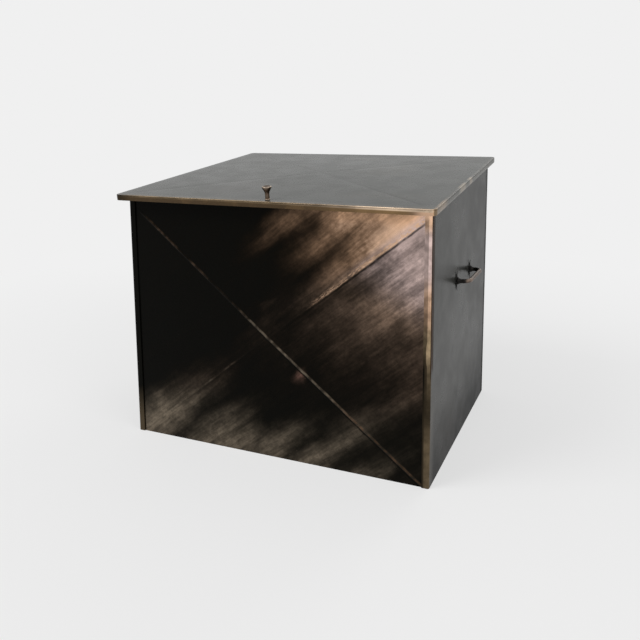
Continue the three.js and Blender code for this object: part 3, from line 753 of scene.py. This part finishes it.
def crease_distances(x, z, half_x, half_z):
    run = hypot(half_x, half_z)
    return abs(x * half_z + z * half_x) / run, abs(x * half_z - z * half_x) / run


# ---- Sheets ----

FOLD_STEPS = 8  # of a hem
BEND_STEPS = 6
TOLERANCE = 1e-6
POINT_SPACING = 12 * MM  # of a plain sheet
END_SPACING = 5 * MM  # beside the back panel's hem
SIDE_HEM = (FRONT_PANEL_Y + SHEET + HEM_CLEARANCE, SIDE_END - SHEET - HEM_CLEARANCE)
BACK_HEM_HALF = HALF_WIDTH - REAR_FLANGE - HEM_CLEARANCE
FRONT_PANEL_HALF = HALF_WIDTH - SHEET - 2.1 * MM
FRONT_GRID = [0.6 * MM, 1.2 * MM, 1.8 * MM, 2.6 * MM, 4 * MM]  # grid lines beside a crease
LID_GRID = [1.5 * MM, 3 * MM, 5 * MM]
CREASE_START = 0.06  # a crease reaches its height at this share of the way from corner to middle
LID_CREASE_START = 0.1
FLOOR_CORNER = 4 * MM
PLATE_BEVEL = 0.3 * MM
STRIP_BEVEL = 0.35 * MM


def turns(angle, steps):
    """Angles from 0 to angle in even steps."""
    return [angle * i / steps for i in range(steps + 1)]


def ring_faces(bm, rows):
    """Joins closed rows of points."""
    grid_faces(bm, [row + row[:1] for row in rows])


def tube(bm, rows):
    """Joins closed rows of points into a solid with flat ends."""
    ring_faces(bm, rows)
    for row in (rows[0], rows[-1]):
        bm.faces.new(row)


def left_of(points, i, closed=True):
    """Unit vector to the left of a run of (x, y) points at its point i."""
    before, after = i - 1, i + 1
    if closed:
        after %= len(points)
    else:
        before, after = max(0, before), min(len(points) - 1, after)
    along = (Vector(points[after]) - Vector(points[before])).normalized()
    return Vector((-along.y, along.x))


def rectangle(half_x, low, high):
    return [(-half_x, low), (half_x, low), (half_x, high), (-half_x, high)]


def drawn_in(room, a, b, seed):
    """How far waves draw a sheet in at a place that lies room away from the nearest stiff edge."""
    return WAVINESS * max(0.0, min(1, room / WAVE_START)) * abs(wave(a, b, seed))


def hem_rows(bm, edge, inward):
    """Rows of points that fold a hem over from the points of a sheet's upper edge."""
    radius = HEM_THICKNESS / 2
    across, up = Vector(inward) * radius, Vector((0, 0, radius))
    moves = [across * (1 - cos(a)) + up * sin(a) for a in turns(pi, FOLD_STEPS)[1:]]
    moves.append(across * 2 + up - Vector((0, 0, HEM_DEPTH)))
    return [[bm.verts.new(p + move) for p in edge] for move in moves]


def partly_hemmed(bm, rows, hemmed, edge, inward):
    """Joins a sheet's rows, folds a hem over the hemmed columns and takes the others to full height."""
    grid_faces(bm, rows)
    top_row = rows[-1]
    for part in (top_row[:hemmed[0] + 1], top_row[hemmed[-1]:]):
        above = [bm.verts.new(v.co + Vector((0, 0, HEM_THICKNESS / 2))) for v in part]
        grid_faces(bm, [part, above])
    grid_faces(bm, [[top_row[i] for i in hemmed]] + hem_rows(bm, edge, inward))


def front_sheet(materials):
    """The cross-broken front with a hem along its whole top."""
    half, foot, head = FIELD
    middle = (foot + head) / 2
    half_z = (head - foot) / 2
    radius = HEM_THICKNESS / 2
    top = top_height(FRONT_PANEL_Y + radius) - radius
    bm = crease_grid(half, foot, head, FRONT_GRID, coarse=11 * MM, reach=1.12)
    clip(bm, rectangle(half, -half_z, half_z), keep=True)
    clip(bm, rectangle(FRONT_PANEL_HALF, -middle, top - middle))
    for v in bm.verts:
        x, z = v.co.x, v.co.z
        share = pyramid_share(x, z, half, half_z)
        raised = FRONT_BULGE * share
        fade = min(1.0, share / CREASE_START)
        for distance in crease_distances(x, z, half, half_z):
            raised += CREASE_HEIGHT * fade * 0.5 * bead(distance, CREASE_HALF_WIDTH)
        raised -= WAVINESS * abs(wave(x, z, 1.0)) * fade
        v.co = Vector((x, FRONT_PANEL_Y - raised, z + middle))
    edge = sorted((v for v in bm.verts if v.co.z > top - TOLERANCE), key=lambda v: v.co.x)
    grid_faces(bm, [edge] + hem_rows(bm, [v.co.copy() for v in edge], (0, 1, 0)))
    outward = ((0, FRONT_PANEL_Y, middle), (0, -1, 0))
    make("front_sheet", bm, materials, "box", "front_panel", SHEET, outward)


def side_path():
    """Plan of the right side panel: front flange, bend, side, bend and rear flange."""
    arc = turns(pi / 2, BEND_STEPS)
    bend_x = HALF_WIDTH - BEND_RADIUS
    path = [(x, FRONT_Y) for x in spaced(HALF_WIDTH - FRONT_FLANGE, bend_x, 2 * MM)[:-1]]
    path += [(bend_x + BEND_RADIUS * sin(a), FRONT_Y + BEND_RADIUS * (1 - cos(a))) for a in arc]
    path += [(HALF_WIDTH, y) for y in spaced(*SIDE_HEM, POINT_SPACING)]
    path += [(bend_x + BEND_RADIUS * cos(a), SIDE_END - BEND_RADIUS * (1 - sin(a))) for a in arc]
    path += [(HALF_WIDTH - REAR_FLANGE, SIDE_END)]
    return path


def side_sheet(side, materials):
    """One strip of sheet, bent round both corners, with a hem along its sloping top."""
    path = side_path()
    radius = HEM_THICKNESS / 2
    bm = bmesh.new()
    rows = []
    for level in spaced(0, 1, 1 / 32):
        rows.append([])
        for x, y in path:
            waved = drawn_in(min(y - SIDE_HEM[0], SIDE_HEM[1] - y), y, level * BACK_TOP, 3.0 + side)
            rows[-1].append(bm.verts.new((side * (x - waved), y, level * (top_height(y) - radius))))
    first, last = SIDE_HEM[0] - TOLERANCE, SIDE_HEM[1] + TOLERANCE
    hemmed = [i for i, (x, y) in enumerate(path) if x == HALF_WIDTH and first <= y <= last]
    edge = [Vector((side * HALF_WIDTH, path[i][1], top_height(path[i][1]) - radius)) for i in hemmed]
    partly_hemmed(bm, rows, hemmed, edge, (-side, 0, 0))
    name = "right" if side > 0 else "left"
    outward = ((side * HALF_WIDTH, 0, FRONT_TOP / 2), (side, 0, 0))
    make(f"{name}_side_sheet", bm, materials, "box", f"{name}_side_panel", SHEET, outward)


def back_sheet(materials):
    """Flat sheet over the rear flanges, with a hem between them."""
    low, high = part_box("back_panel")
    half = BACK_HEM_HALF
    columns = spaced(low.x, -half, END_SPACING) + spaced(-half, half, POINT_SPACING)[1:]
    columns += spaced(half, high.x, END_SPACING)[1:]
    top = high.z - HEM_THICKNESS / 2
    bm = bmesh.new()
    rows = []
    for z in spaced(0, top, POINT_SPACING):
        waved = [drawn_in(min(z, top - z, half - abs(x)), x, z, 8.0) for x in columns]
        rows.append([bm.verts.new((x, high.y - inward, z)) for x, inward in zip(columns, waved)])
    hemmed = [i for i, x in enumerate(columns) if abs(x) <= half + TOLERANCE]
    partly_hemmed(bm, rows, hemmed, [rows[-1][i].co.copy() for i in hemmed], (0, -1, 0))
    outward = ((0, high.y, FRONT_TOP / 2), (0, 1, 0))
    make("back_sheet", bm, materials, "box", "back_panel", SHEET, outward)


def rounded_outline(half_x, low, high, radius, steps):
    """A rectangle with round corners as (x, z) points, anticlockwise."""
    corners = [(half_x, low, -90), (half_x, high, 0), (-half_x, high, 90), (-half_x, low, 180)]
    points = []
    for x, z, start in corners:
        middle = (x - copysign(radius, x), z + (radius if z == low else -radius))
        for turn in turns(90, steps):
            a = radians(start + turn)
            points.append((middle[0] + radius * cos(a), middle[1] + radius * sin(a)))
    return points


def floor_plate(material):
    """A flat plate with round corners and rounded edges."""
    low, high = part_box("floor_panel")
    outline = rounded_outline(high.x, low.y, high.y, FLOOR_CORNER, 6)
    quarter = turns(pi / 2, 3)
    rings = [(PLATE_BEVEL * (1 - sin(a)), low.z + PLATE_BEVEL * (1 - cos(a))) for a in quarter]
    rings += [(PLATE_BEVEL * (1 - cos(a)), high.z - PLATE_BEVEL * (1 - sin(a))) for a in quarter]
    bm = bmesh.new()
    rows = []
    for inset, z in rings:
        places = [Vector(point) + left_of(outline, i) * inset for i, point in enumerate(outline)]
        rows.append([bm.verts.new((*place, z)) for place in places])
    tube(bm, rows)
    make("floor_plate", bm, [material], "box", "floor_panel")


def lid_height(x, y, field_x, field_y):
    """How far the cross-broken lid stands above its flat border."""
    share = pyramid_share(x, y, field_x, field_y)
    fade = min(1, share / LID_CREASE_START)
    fold = LID_CREASE * bead(min(crease_distances(x, y, field_x, field_y)), LID_CREASE_HALF_WIDTH) * fade
    return LID_BULGE * share - fold - WAVINESS * abs(wave(x, y, 5.0)) * fade


def lid_sheet(materials):
    """The cross-broken lid, made flat in the XZ plane and then laid on the slope."""
    low, high = LID_BOX
    middle = (low.y + high.y) / 2
    half_x, half_y = high.x, (high.y - low.y) / 2
    field_x, field_y = half_x - LID_FIELD_MARGIN, half_y - LID_FIELD_MARGIN
    bm = crease_grid(field_x, -field_y, field_y, LID_GRID, coarse=POINT_SPACING, reach=1.16)
    clip(bm, rectangle(field_x, -field_y, field_y), keep=True)
    edge = LID_ROUND
    clip(bm, rounded_outline(half_x - edge, edge - half_y, half_y - edge, LID_CORNER - edge, CORNER_STEPS))
    bmesh.ops.remove_doubles(bm, verts=bm.verts[:], dist=0.05 * MM)
    ring = border_loop(bm)
    outward = []
    for i, v in enumerate(ring):
        along = (ring[(i + 1) % len(ring)].co - ring[i - 1].co).normalized()
        normal = Vector((along.z, 0, -along.x))
        outward.append(normal if normal.dot(v.co) > 0 else -normal)
    for v in bm.verts:
        v.co.y = lid_height(v.co.x, v.co.z, field_x, field_y)
    rows = [ring]
    for a in turns(pi / 2, 4)[1:]:
        out, down = edge * sin(a), Vector((0, edge * (1 - cos(a)), 0))
        rows.append([bm.verts.new(v.co + n * out - down) for v, n in zip(ring, outward)])
    rows.append([bm.verts.new((v.co.x, -SHEET, v.co.z)) for v in rows[-1]])
    ring_faces(bm, rows)
    rim = {v for row in rows[1:] for v in row}
    inner = {v: bm.verts.new(v.co - Vector((0, SHEET, 0))) for v in bm.verts[:] if v not in rim}
    for face in [f for f in bm.faces[:] if all(v in inner for v in f.verts)]:
        bm.faces.new([inner[v] for v in reversed(face.verts)]).material_index = len(materials) - 1
    ring_faces(bm, [rows[-1], [inner[v] for v in ring]])
    for v in bm.verts:
        v.co = LID_PLACE @ Vector((v.co.x, v.co.z + middle, v.co.y + low.z + SHEET))
    make("lid_sheet", bm, materials, "lid", "lid_panel")


def border_loop(bm):
    """The points round the open border of a surface, in order."""
    left = {edge for edge in bm.edges if len(edge.link_faces) == 1}
    ring = [next(iter(left)).verts[0]]
    while left:
        step = next((edge for edge in ring[-1].link_edges if edge in left), None)
        if step is None:
            break
        left.discard(step)
        ring.append(step.other_vert(ring[-1]))
    return ring[:-1]


def lid_edging(name, run, materials):
    """A flat strip that follows a run of (x, y) points along the lid's outline, in the lid's own frame."""
    node = f"lid_{name}_edging"
    low, high = box_in(node, LID_PLACE)
    quarter = turns(pi / 2, 2)
    corner = [(STRIP_BEVEL * (1 - cos(a)), STRIP_BEVEL * (1 - sin(a))) for a in quarter]
    upper = corner + [(EDGING - inset, drop) for inset, drop in reversed(corner)]
    section = [(inset, high.z - drop) for inset, drop in upper]
    section += [(inset, low.z + drop) for inset, drop in reversed(upper)]
    bm = bmesh.new()
    rows = []
    for i, point in enumerate(run):
        inward = left_of(run, i, closed=False)
        places = [(*(Vector(point) + inward * inset), z) for inset, z in section]
        rows.append([bm.verts.new(LID_PLACE @ Vector(place)) for place in places])
    tube(bm, rows)
    make(f"{node}_strip", bm, materials, "lid", node)


def lid_edgings(materials):
    """The front strip is bent round the front corners and the side strips round the rear ones."""
    low, high = LID_BOX
    outline = rounded_outline(high.x, low.y, high.y, LID_CORNER, CORNER_STEPS)
    count = CORNER_STEPS + 1
    right_front, right_rear, left_rear, left_front = (outline[i * count:(i + 1) * count] for i in range(4))
    lid_edging("front", left_front + spaced_run(left_front[-1], right_front[0]) + right_front, materials)
    start_y = low.y + LID_CORNER + SEAM_GAP
    lid_edging("right", spaced_run((high.x, start_y), right_rear[0])[:-1] + right_rear, materials)
    lid_edging("left", left_rear + spaced_run(left_rear[-1], (-high.x, start_y))[1:], materials)
    (right_x, rear_y), (left_x, _) = right_rear[-1], left_rear[0]
    lid_edging("rear", spaced_run((right_x - SEAM_GAP, rear_y), (left_x + SEAM_GAP, rear_y)), materials)


def spaced_run(start, end):
    """Points from start to end, about 20 mm apart."""
    a, b = Vector(start), Vector(end)
    return [tuple(a.lerp(b, share)) for share in spaced(0, 1, 20 * MM / (b - a).length)]


# ---- Turned pieces ----

TURNED_SIDES = 40
TURNED_CRISP = radians(40)
SCREW_HEAD = 2.2 * MM
SCREW_TIP = 0.9 * MM
THREAD_TURNS = 9
WASHER_HOLE = 2.1 / 4.6  # radius as a share of the washer's
PIN_SHANK = 2 / 2.9  # radius as a share of the head's
PIN_DOME = 0.019  # height of the head's dome as a share of the pin's length
KNOB_FOOT = 0.55  # radius as a share of the head's
KNOB_STEM = 0.46


def facing(axis):
    """A frame at the origin whose Z points along an axis."""
    return Vector(axis).to_track_quat("Z", "Y").to_matrix().to_4x4()


def turned(node, place, profile, body, material):
    """A turned piece whose axis is the Z of place, from shares of the node's radius and of its length."""
    low, high = box_in(node, place)
    radius, tall = (high.x - low.x) / 2, high.z - low.z
    around = turns(2 * pi, TURNED_SIDES)[:-1]
    bm = bmesh.new()
    rings = []
    for r, h in profile:
        angles = around if r else around[:1]
        out = r * radius
        rings.append([bm.verts.new((out * cos(a), out * sin(a), h * tall)) for a in angles])
    for lower, upper in zip(rings, rings[1:]):
        for i in range(TURNED_SIDES):
            j = (i + 1) % TURNED_SIDES
            corners = [ring[k % len(ring)] for ring, k in ((lower, i), (lower, j), (upper, j), (upper, i))]
            bm.faces.new([v for k, v in enumerate(corners) if v not in corners[:k]])
    foot = Matrix.Translation(((low.x + high.x) / 2, (low.y + high.y) / 2, low.z))
    bmesh.ops.transform(bm, matrix=place @ foot, verts=bm.verts[:])
    make(f"{node}_turned", bm, [material], body, node, crisp=TURNED_CRISP)


def smooth_profile(points, steps=5):
    """Catmull-Rom curve through (radius, height) points."""
    out = []
    for i in range(len(points) - 1):
        p = [Vector(points[max(0, min(len(points) - 1, i + k))]) for k in (-1, 0, 1, 2)]
        for s in range(steps):
            t = s / steps
            value = 0.5 * (
                2 * p[1] + (p[2] - p[0]) * t + (2 * p[0] - 5 * p[1] + 4 * p[2] - p[3]) * t**2
                + (3 * p[1] - p[0] - 3 * p[2] + p[3]) * t**3
            )
            out.append((max(0.0, value.x), value.y))
    out.append(tuple(points[-1]))
    return out


def lid_knob(copper):
    """A waisted stem under a mushroom head with a hollow in its top."""
    profile = smooth_profile([
        (KNOB_FOOT, 0),
        (KNOB_FOOT, 0.04),
        (KNOB_STEM, 0.11),
        (KNOB_STEM, 0.30),
        (KNOB_STEM, 0.50),
        (0.60, 0.63),
        (0.90, 0.83),
        (0.985, 0.93),
        (0.90, 0.985),
        (0.62, 0.945),
        (0.30, 0.92),
        (0, 0.91),
    ])
    turned("lid_knob", LID_PLACE, [(0, 0)] + profile, "lid", copper)


def knob_fixing(zinc):
    """The screw and washer under the knob, along the lid's own upward direction."""
    screw_profile = [(0, 0), (0.5, 0), (0.85, 0.03), (0.98, 0.09), (1, 0.17)]
    screw_profile += [(0.47, 0.175), (0.47, 0.94), (0.2, 1), (0, 1)]
    turned("knob_screw", LID_PLACE, screw_profile, "lid", zinc)
    half = [(0.46, 0.1), (0.5, 0), (0.94, 0), (1, 0.3)]
    ring = half + [(r, 1 - h) for r, h in reversed(half)] + half[:1]
    turned("knob_washer", LID_PLACE, ring, "lid", zinc)


def screw(node, axis, material):
    """A pan-head screw; its head is at the low end of the axis."""
    low, high = box_in(node, facing(axis))
    tall = high.z - low.z
    head = SCREW_HEAD / tall
    thread = 1 - SCREW_TIP / tall - head
    profile = [(0, 0), (0.45, 0), (0.72, head * 0.1), (0.9, head * 0.34), (0.98, head * 0.62)]
    profile += [(1, head * 0.9), (0.97, head), (0.47, head)]
    for i in range(THREAD_TURNS):
        root = head + thread * (i + 0.5) / THREAD_TURNS
        profile += [(0.40, root), (0.47, root + thread * 0.5 / THREAD_TURNS)]
    profile += [(0.24, 1), (0, 1)]
    turned(node, facing(axis), profile, "box", material)


def washer(node, axis, material):
    half = [(WASHER_HOLE, 0.15), (WASHER_HOLE * 1.05, 0), (0.94, 0), (1, 0.3)]
    ring = half + [(r, 1 - h) for r, h in reversed(half)] + half[:1]
    turned(node, facing(axis), ring, "box", material)


def rivet(node, material):
    """A round-head rivet along Y; its set tail is at the low end."""
    profile = [(0, 0), (0.6, 0), (0.78, 0.05), (0.8, 0.1), (0.8, 0.19), (0.5, 0.2), (0.5, 0.79), (1, 0.8)]
    profile += [(cos(a), 0.8 + 0.2 * sin(a)) for a in (0.25, 0.55, 0.85, 1.15, 1.4)] + [(0, 1)]
    turned(node, facing((0, 1, 0)), profile, "box", material)


def hinge_pin(node, material):
    """A pin with a low domed head at both ends."""
    half = [(sin(a), PIN_DOME * (1 - cos(a))) for a in (0.0, 0.4, 0.8, 1.2, pi / 2)]
    half += [(1, 0.021), (PIN_SHANK, 0.0215)]
    profile = half + [(r, 1 - h) for r, h in reversed(half)]
    turned(node, facing((1, 0, 0)), profile, "box", material)


# ---- Hinges ----

LEAF = 1.2 * MM
KNUCKLE = 3.68 * MM
LEAF_CORNER = 4 * MM
LEAF_STEPS = 14
LEAF_SPACING = 1.6 * MM
ROLL_STEPS = 22
ROLL = radians(322)
HINGE_HALF = 30 * MM  # half of a hinge's length
LID_KNUCKLES = [(-11 * MM, 11 * MM)]  # spans of x from the hinge's middle
BODY_KNUCKLES = [(-HINGE_HALF, -11.4 * MM), (11.4 * MM, HINGE_HALF)]
BODY_LEAF_HEIGHT = 32 * MM
LID_LEAF_DEPTH = 28 * MM


def leaf_rows(columns, reach):
    """Points of a leaf as (x, away from the pin, along the leaf): its flat and then its roll."""
    stop = KNUCKLE + 0.6 * MM
    rows = []
    for share in spaced(0, 1, 1 / LEAF_STEPS):
        row = []
        for x in columns:
            into = max(0.0, abs(x) - (HINGE_HALF - LEAF_CORNER))
            depth = reach - LEAF_CORNER + sqrt(max(0.0, LEAF_CORNER**2 - into**2))
            row.append((x, KNUCKLE, depth + (stop - depth) * share))
        rows.append(row)
    for a in turns(ROLL, ROLL_STEPS):
        rows.append([(x, KNUCKLE * cos(a), -KNUCKLE * sin(a)) for x in columns])
    return rows


def hinge_leaf(node, place, body, reach, knuckles, toward, iron):
    """A leaf that is rolled round the pin over the spans of x in knuckles, and flat up to reach.

    toward turns the distances away from the pin and along the leaf into y and z of place."""
    ends = sorted({round(x, 7) for span in [*knuckles, (-HINGE_HALF, HINGE_HALF)] for x in span})
    columns = [x for a, b in zip(ends, ends[1:]) for x in spaced(a, b, LEAF_SPACING)[:-1]] + ends[-1:]
    rows = leaf_rows(columns, reach)
    bm = bmesh.new()
    made = {}

    def put(r, c):
        x, away, depth = rows[r][c]
        return place @ Vector((x, *toward(away, depth)))

    def point(r, c):
        if (r, c) not in made:
            made[r, c] = bm.verts.new(put(r, c))
        return made[r, c]

    for r in range(len(rows) - 1):
        for c in range(len(columns) - 1):
            middle = (columns[c] + columns[c + 1]) / 2
            if r < LEAF_STEPS or any(a < middle < b for a, b in knuckles):
                bm.faces.new((point(r, c), point(r, c + 1), point(r + 1, c + 1), point(r + 1, c)))
    outward = (put(3, len(columns) // 2), place.to_3x3() @ Vector((0, *toward(1, 0))))
    make(f"{node}_rolled", bm, [iron], body, node, LEAF, outward)


def hinges(iron, zinc):
    for name in ("left", "right"):
        pin = f"{name}_hinge_pin"
        low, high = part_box(pin)
        x = (low.x + high.x) / 2
        at_pin = Matrix.Translation((x, HINGE.y, HINGE.z))
        hinge_leaf(f"{name}_hinge_body_leaf", at_pin, "box", BODY_LEAF_HEIGHT, BODY_KNUCKLES,
                   lambda away, depth: (-away, -depth), iron)
        on_lid = LID_PLACE @ Matrix.Translation((x, 0, 0))
        hinge_leaf(f"{name}_hinge_lid_leaf", on_lid, "lid", LID_LEAF_DEPTH, LID_KNUCKLES,
                   lambda away, depth: (-depth, away), iron)
        hinge_pin(pin, zinc)
        for number in (1, 2, 3):
            rivet(f"{name}_hinge_rivet_{number}", zinc)


# ---- Handles ----

BAR_RADIUS = 3.4 * MM
BAR_SIDES = 28
BOW_CORNER = 13 * MM
BOW_CORNER_STEPS = 14
COLLAR_RADIUS = 6.2 * MM
COLLAR_LENGTH = 5 * MM
GROOVE = 0.25 * MM  # depth of the groove above a collar
DENT = 0.05  # depth of the hammer marks as a share of the radius
DENTS_PER_METRE = 190
ROSETTE_WAIST = 4.7 * MM  # how near the hollow sides come to the middle
ROSETTE_STEPS = 16  # along a hollow side
ROSETTE_SHARES = [0.12, 0.3, 0.45, 0.6, 0.72, 0.82, 0.9, 0.96, 1.0]  # rings from the middle outwards
ROSETTE_EDGE = 0.30  # thickness left at the edge as a share
DOME_EDGE = 0.36  # the same far from the domed middle
CURL_START = 8.5 * MM  # beyond this distance from the middle the points curl up
CURL = 0.10


def bow_path(foot, reach, half):
    """The bar's middle line as (x, y) points, from one foot to the other."""
    bend = turns(pi / 2, BOW_CORNER_STEPS)[1:]
    path = [(x, -half) for x in spaced(foot, reach - BOW_CORNER, 0.5 * MM)]
    path += [(reach - BOW_CORNER * (1 - sin(a)), BOW_CORNER * (1 - cos(a)) - half) for a in bend]
    path += [(reach, y) for y in spaced(BOW_CORNER - half, 0, 2 * MM)[1:]]
    return path + [(x, -y) for x, y in reversed(path[:-1])]


def bar_radius(near):
    """Radius of the bar at a distance from its nearer foot."""
    flare = max(0.0, 1 - near / COLLAR_LENGTH)
    groove = max(0.0, 1 - abs(near - COLLAR_LENGTH * 1.25) / (1.2 * MM))
    return BAR_RADIUS + (COLLAR_RADIUS - BAR_RADIUS) * flare**1.7 - GROOVE * groove


def handle_bow(name, side, iron):
    """A round forged bar, bent square to its feet and flared into a collar at each of them."""
    node = f"{name}_handle_bow"
    low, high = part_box(node)
    foot, top = (low.x, high.x) if side > 0 else (-high.x, -low.x)
    path = bow_path(foot, top - BAR_RADIUS, high.y - COLLAR_RADIUS)
    height = (low.z + high.z) / 2
    steps = [(Vector(b) - Vector(a)).length for a, b in zip(path, path[1:])]
    around = turns(2 * pi, BAR_SIDES)[:-1]
    bm = bmesh.new()
    rows = []
    for i, (x, y) in enumerate(path):
        walked = sum(steps[:i])
        radius = bar_radius(min(walked, sum(steps) - walked))
        across = -left_of(path, i, closed=False)
        row = []
        for a in around:
            mark = noise.noise(Vector((walked * DENTS_PER_METRE, 2 * cos(a), 2 * sin(a))))
            out = radius * (1 - DENT * max(0.0, mark))
            flat = (Vector((x, y)) + across * out * cos(a)) * side
            row.append(bm.verts.new((*flat, height + out * sin(a))))
        rows.append(row)
    tube(bm, rows)
    make(f"{node}_forged", bm, [iron], "box", node)


def rosette_outline(long, short):
    """Four points joined by hollow curves, as (y, z) places."""
    waist = ROSETTE_WAIST / sqrt(2)
    tips = [Vector((short, 0)), Vector((0, long)), Vector((-short, 0)), Vector((0, -long))]
    outline = []
    for tip, after in zip(tips, tips[1:] + tips[:1]):
        bend = Vector((copysign(waist, tip.x + after.x), copysign(waist, tip.y + after.y)))
        for t in spaced(0, 1, 1 / ROSETTE_STEPS)[:-1]:
            outline.append(tip * (1 - t)**2 + bend * 2 * t * (1 - t) + after * t**2)
    return outline


def rosette(node, side, iron):
    """A four-pointed plate with hollow sides, domed in the middle and thin at its curled points."""
    low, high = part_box(node)
    centre = (low + high) / 2
    thick = high.x - low.x
    base = low.x if side > 0 else high.x
    outline = rosette_outline((high.z - low.z) / 2, (high.y - low.y) / 2)
    bm = bmesh.new()

    def place(flat, up):
        curl = max(0.0, flat.length - CURL_START) * CURL
        return bm.verts.new((base + side * min(thick, up + curl), centre.y + flat.x, centre.z + flat.y))

    def domed(flat, share):
        edge = sqrt(max(0.0, 1 - share**6))
        dome = DOME_EDGE + (1 - DOME_EDGE) / (1 + (flat.length / (COLLAR_RADIUS * 0.95))**4)
        return place(flat, thick * dome * (ROSETTE_EDGE + (1 - ROSETTE_EDGE) * edge))

    top = place(Vector((0, 0)), thick)
    rows = [[domed(point * share, share) for point in outline] for share in ROSETTE_SHARES]
    for a, b in zip(rows[0], rows[0][1:] + rows[0][:1]):
        bm.faces.new((top, a, b))
    back = [[place(point * share, 0) for point in outline] for share in (1.0, 0.5)]
    ring_faces(bm, rows + back)
    bm.faces.new(back[-1])
    make(f"{node}_forged", bm, [iron], "box", node)


def handles(iron, zinc):
    for name, side in (("left", -1), ("right", 1)):
        handle_bow(name, side, iron)
        for end in ("front", "rear"):
            rosette(f"{name}_handle_{end}_rosette", side, iron)
            screw(f"{name}_handle_{end}_screw", (side, 0, 0), zinc)
            washer(f"{name}_handle_{end}_washer", (side, 0, 0), zinc)


# ---- Camera, light and floor ----

def camera():
    """The photograph's own view: its focal length and optical centre in pixels of a 640 frame."""
    frame_px = 640
    focal_px = 661.7
    centre_px = (354.3, 218.3)
    yaw, pitch = 21.82, 7.85
    data = bpy.data.cameras.new("view")
    data.sensor_width = 36
    data.lens = focal_px / frame_px * data.sensor_width
    data.shift_x = (frame_px / 2 - centre_px[0]) / frame_px
    data.shift_y = (centre_px[1] - frame_px / 2) / frame_px
    data.clip_start, data.clip_end = 0.05, 60
    eye = bpy.data.objects.new("view", data)
    eye.location = (0.4748, -1.0319, 0.5022)
    eye.rotation_euler = (radians(90 - pitch), 0, radians(yaw))
    bpy.context.scene.collection.objects.link(eye)
    bpy.context.scene.camera = eye


def lamp(name, place, aim, size, power):
    data = bpy.data.lights.new(name, "AREA")
    data.shape = "DISK"
    data.size = size
    data.energy = power
    light = bpy.data.objects.new(name, data)
    light.location = place
    light.rotation_euler = (Vector(aim) - Vector(place)).to_track_quat("-Z", "Y").to_euler()
    bpy.context.scene.collection.objects.link(light)


BACKGROUND = linear(240, 240, 240)
AMBIENT = 0.55
FLOOR_GLOW = (0.66, 1.0)  # how far the floor shows the plain background, beside the box and far away
GLOW_SPAN = (0.3, 1.6)  # distances from the middle between which that changes


def seen_directly(net):
    """1 for camera, mirror and glass rays, 0 for the rest."""
    path = net.nodes.new("ShaderNodeLightPath")
    rays = [Value(net, path.outputs[f"Is {kind} Ray"]) for kind in ("Camera", "Glossy", "Transmission")]
    return net.math("MAXIMUM", net.math("MAXIMUM", rays[0], rays[1]), rays[2])


def studio():
    world = bpy.data.worlds.new("studio")
    bpy.context.scene.world = world
    net = Net(world)
    net.nodes.clear()
    soft = net.feed("ShaderNodeBackground", {"Strength": AMBIENT})
    plain = net.feed("ShaderNodeBackground", {"Color": BACKGROUND})
    out = net.nodes.new("ShaderNodeOutputWorld")
    net.put(out.inputs[0], net.mixed_shader(seen_directly(net), soft, plain))
    lamp("key", (-1.3, -1.5, 2.2), (0, 0, 0.2), 1.6, 34)
    lamp("fill", (1.9, -1.0, 1.5), (0, 0, 0.2), 1.6, 12)
    lamp("back", (0.6, 2.0, 1.8), (0, 0, 0.3), 1.4, 12)


def studio_floor():
    bpy.ops.mesh.primitive_plane_add(size=30, location=(0, 0, 0))
    ground = bpy.context.object
    ground.name = "studio_floor"
    material = bpy.data.materials.new("studio_floor")
    net = Net(material)
    net.nodes.clear()
    place = net.feed("ShaderNodeTexCoord", {}, "Object")
    away = net.nodes.new("ShaderNodeVectorMath")
    away.operation = "LENGTH"
    fade = net.feed(away, {0: place}, "Value").step(*GLOW_SPAN, *FLOOR_GLOW)
    matt = net.feed("ShaderNodeBsdfDiffuse", {"Color": BACKGROUND})
    glow = net.feed("ShaderNodeEmission", {"Color": BACKGROUND})
    out = net.nodes.new("ShaderNodeOutputMaterial")
    net.put(out.inputs[0], net.mixed_shader(seen_directly(net) * fade, matt, glow))
    ground.data.materials.append(material)


# ---- The whole scene ----

LID_BOX = box_in("lid_panel", LID_PLACE)
FRONT_PATINA_AND_PAINTED_LIGHT = front_patina()
SIDE_PATINA_AND_PAINTED_LIGHT = side_patina()
LID_PATINA_AND_PAINTED_LIGHT = lid_patina()
INNER = plain_metal("inner_steel", linear(34, 33, 32), 0.0, (0.5, 0.7), 220, 0.1 * MM)
# the handles: black iron, lighter on the grip as wear and partly as a painted highlight
IRON = plain_metal("black_iron", linear(24, 21, 18), 0.8, (0.40, 0.55), 160, 0.4 * MM,
                   linear(150, 130, 116), grip_wear_and_highlight)
# the knob: rubbed copper, lighter on raised points as wear and on its up-facing faces as a painted
# highlight
RUBBED_AND_HIGHLIT = plain_metal("rubbed_copper", linear(96, 80, 66), 1.0, (0.26, 0.42), 200, 0.1 * MM,
                     linear(190, 174, 156), upward_painted_highlight)
ZINC = plain_metal("fastener_zinc", linear(168, 170, 172), 1.0, (0.3, 0.45), 300, 0.05 * MM)

front_sheet([FRONT_PATINA_AND_PAINTED_LIGHT, INNER])
side_sheet(-1, [SIDE_PATINA_AND_PAINTED_LIGHT, INNER])
side_sheet(1, [SIDE_PATINA_AND_PAINTED_LIGHT, INNER])
back_sheet([SIDE_PATINA_AND_PAINTED_LIGHT, INNER])
floor_plate(INNER)
lid_sheet([LID_PATINA_AND_PAINTED_LIGHT, INNER])
lid_edgings([LID_PATINA_AND_PAINTED_LIGHT])
lid_knob(RUBBED_AND_HIGHLIT)
knob_fixing(ZINC)
hinges(IRON, ZINC)
handles(IRON, ZINC)

camera()
studio()
studio_floor()
bpy.context.scene.view_settings.view_transform = "Standard"
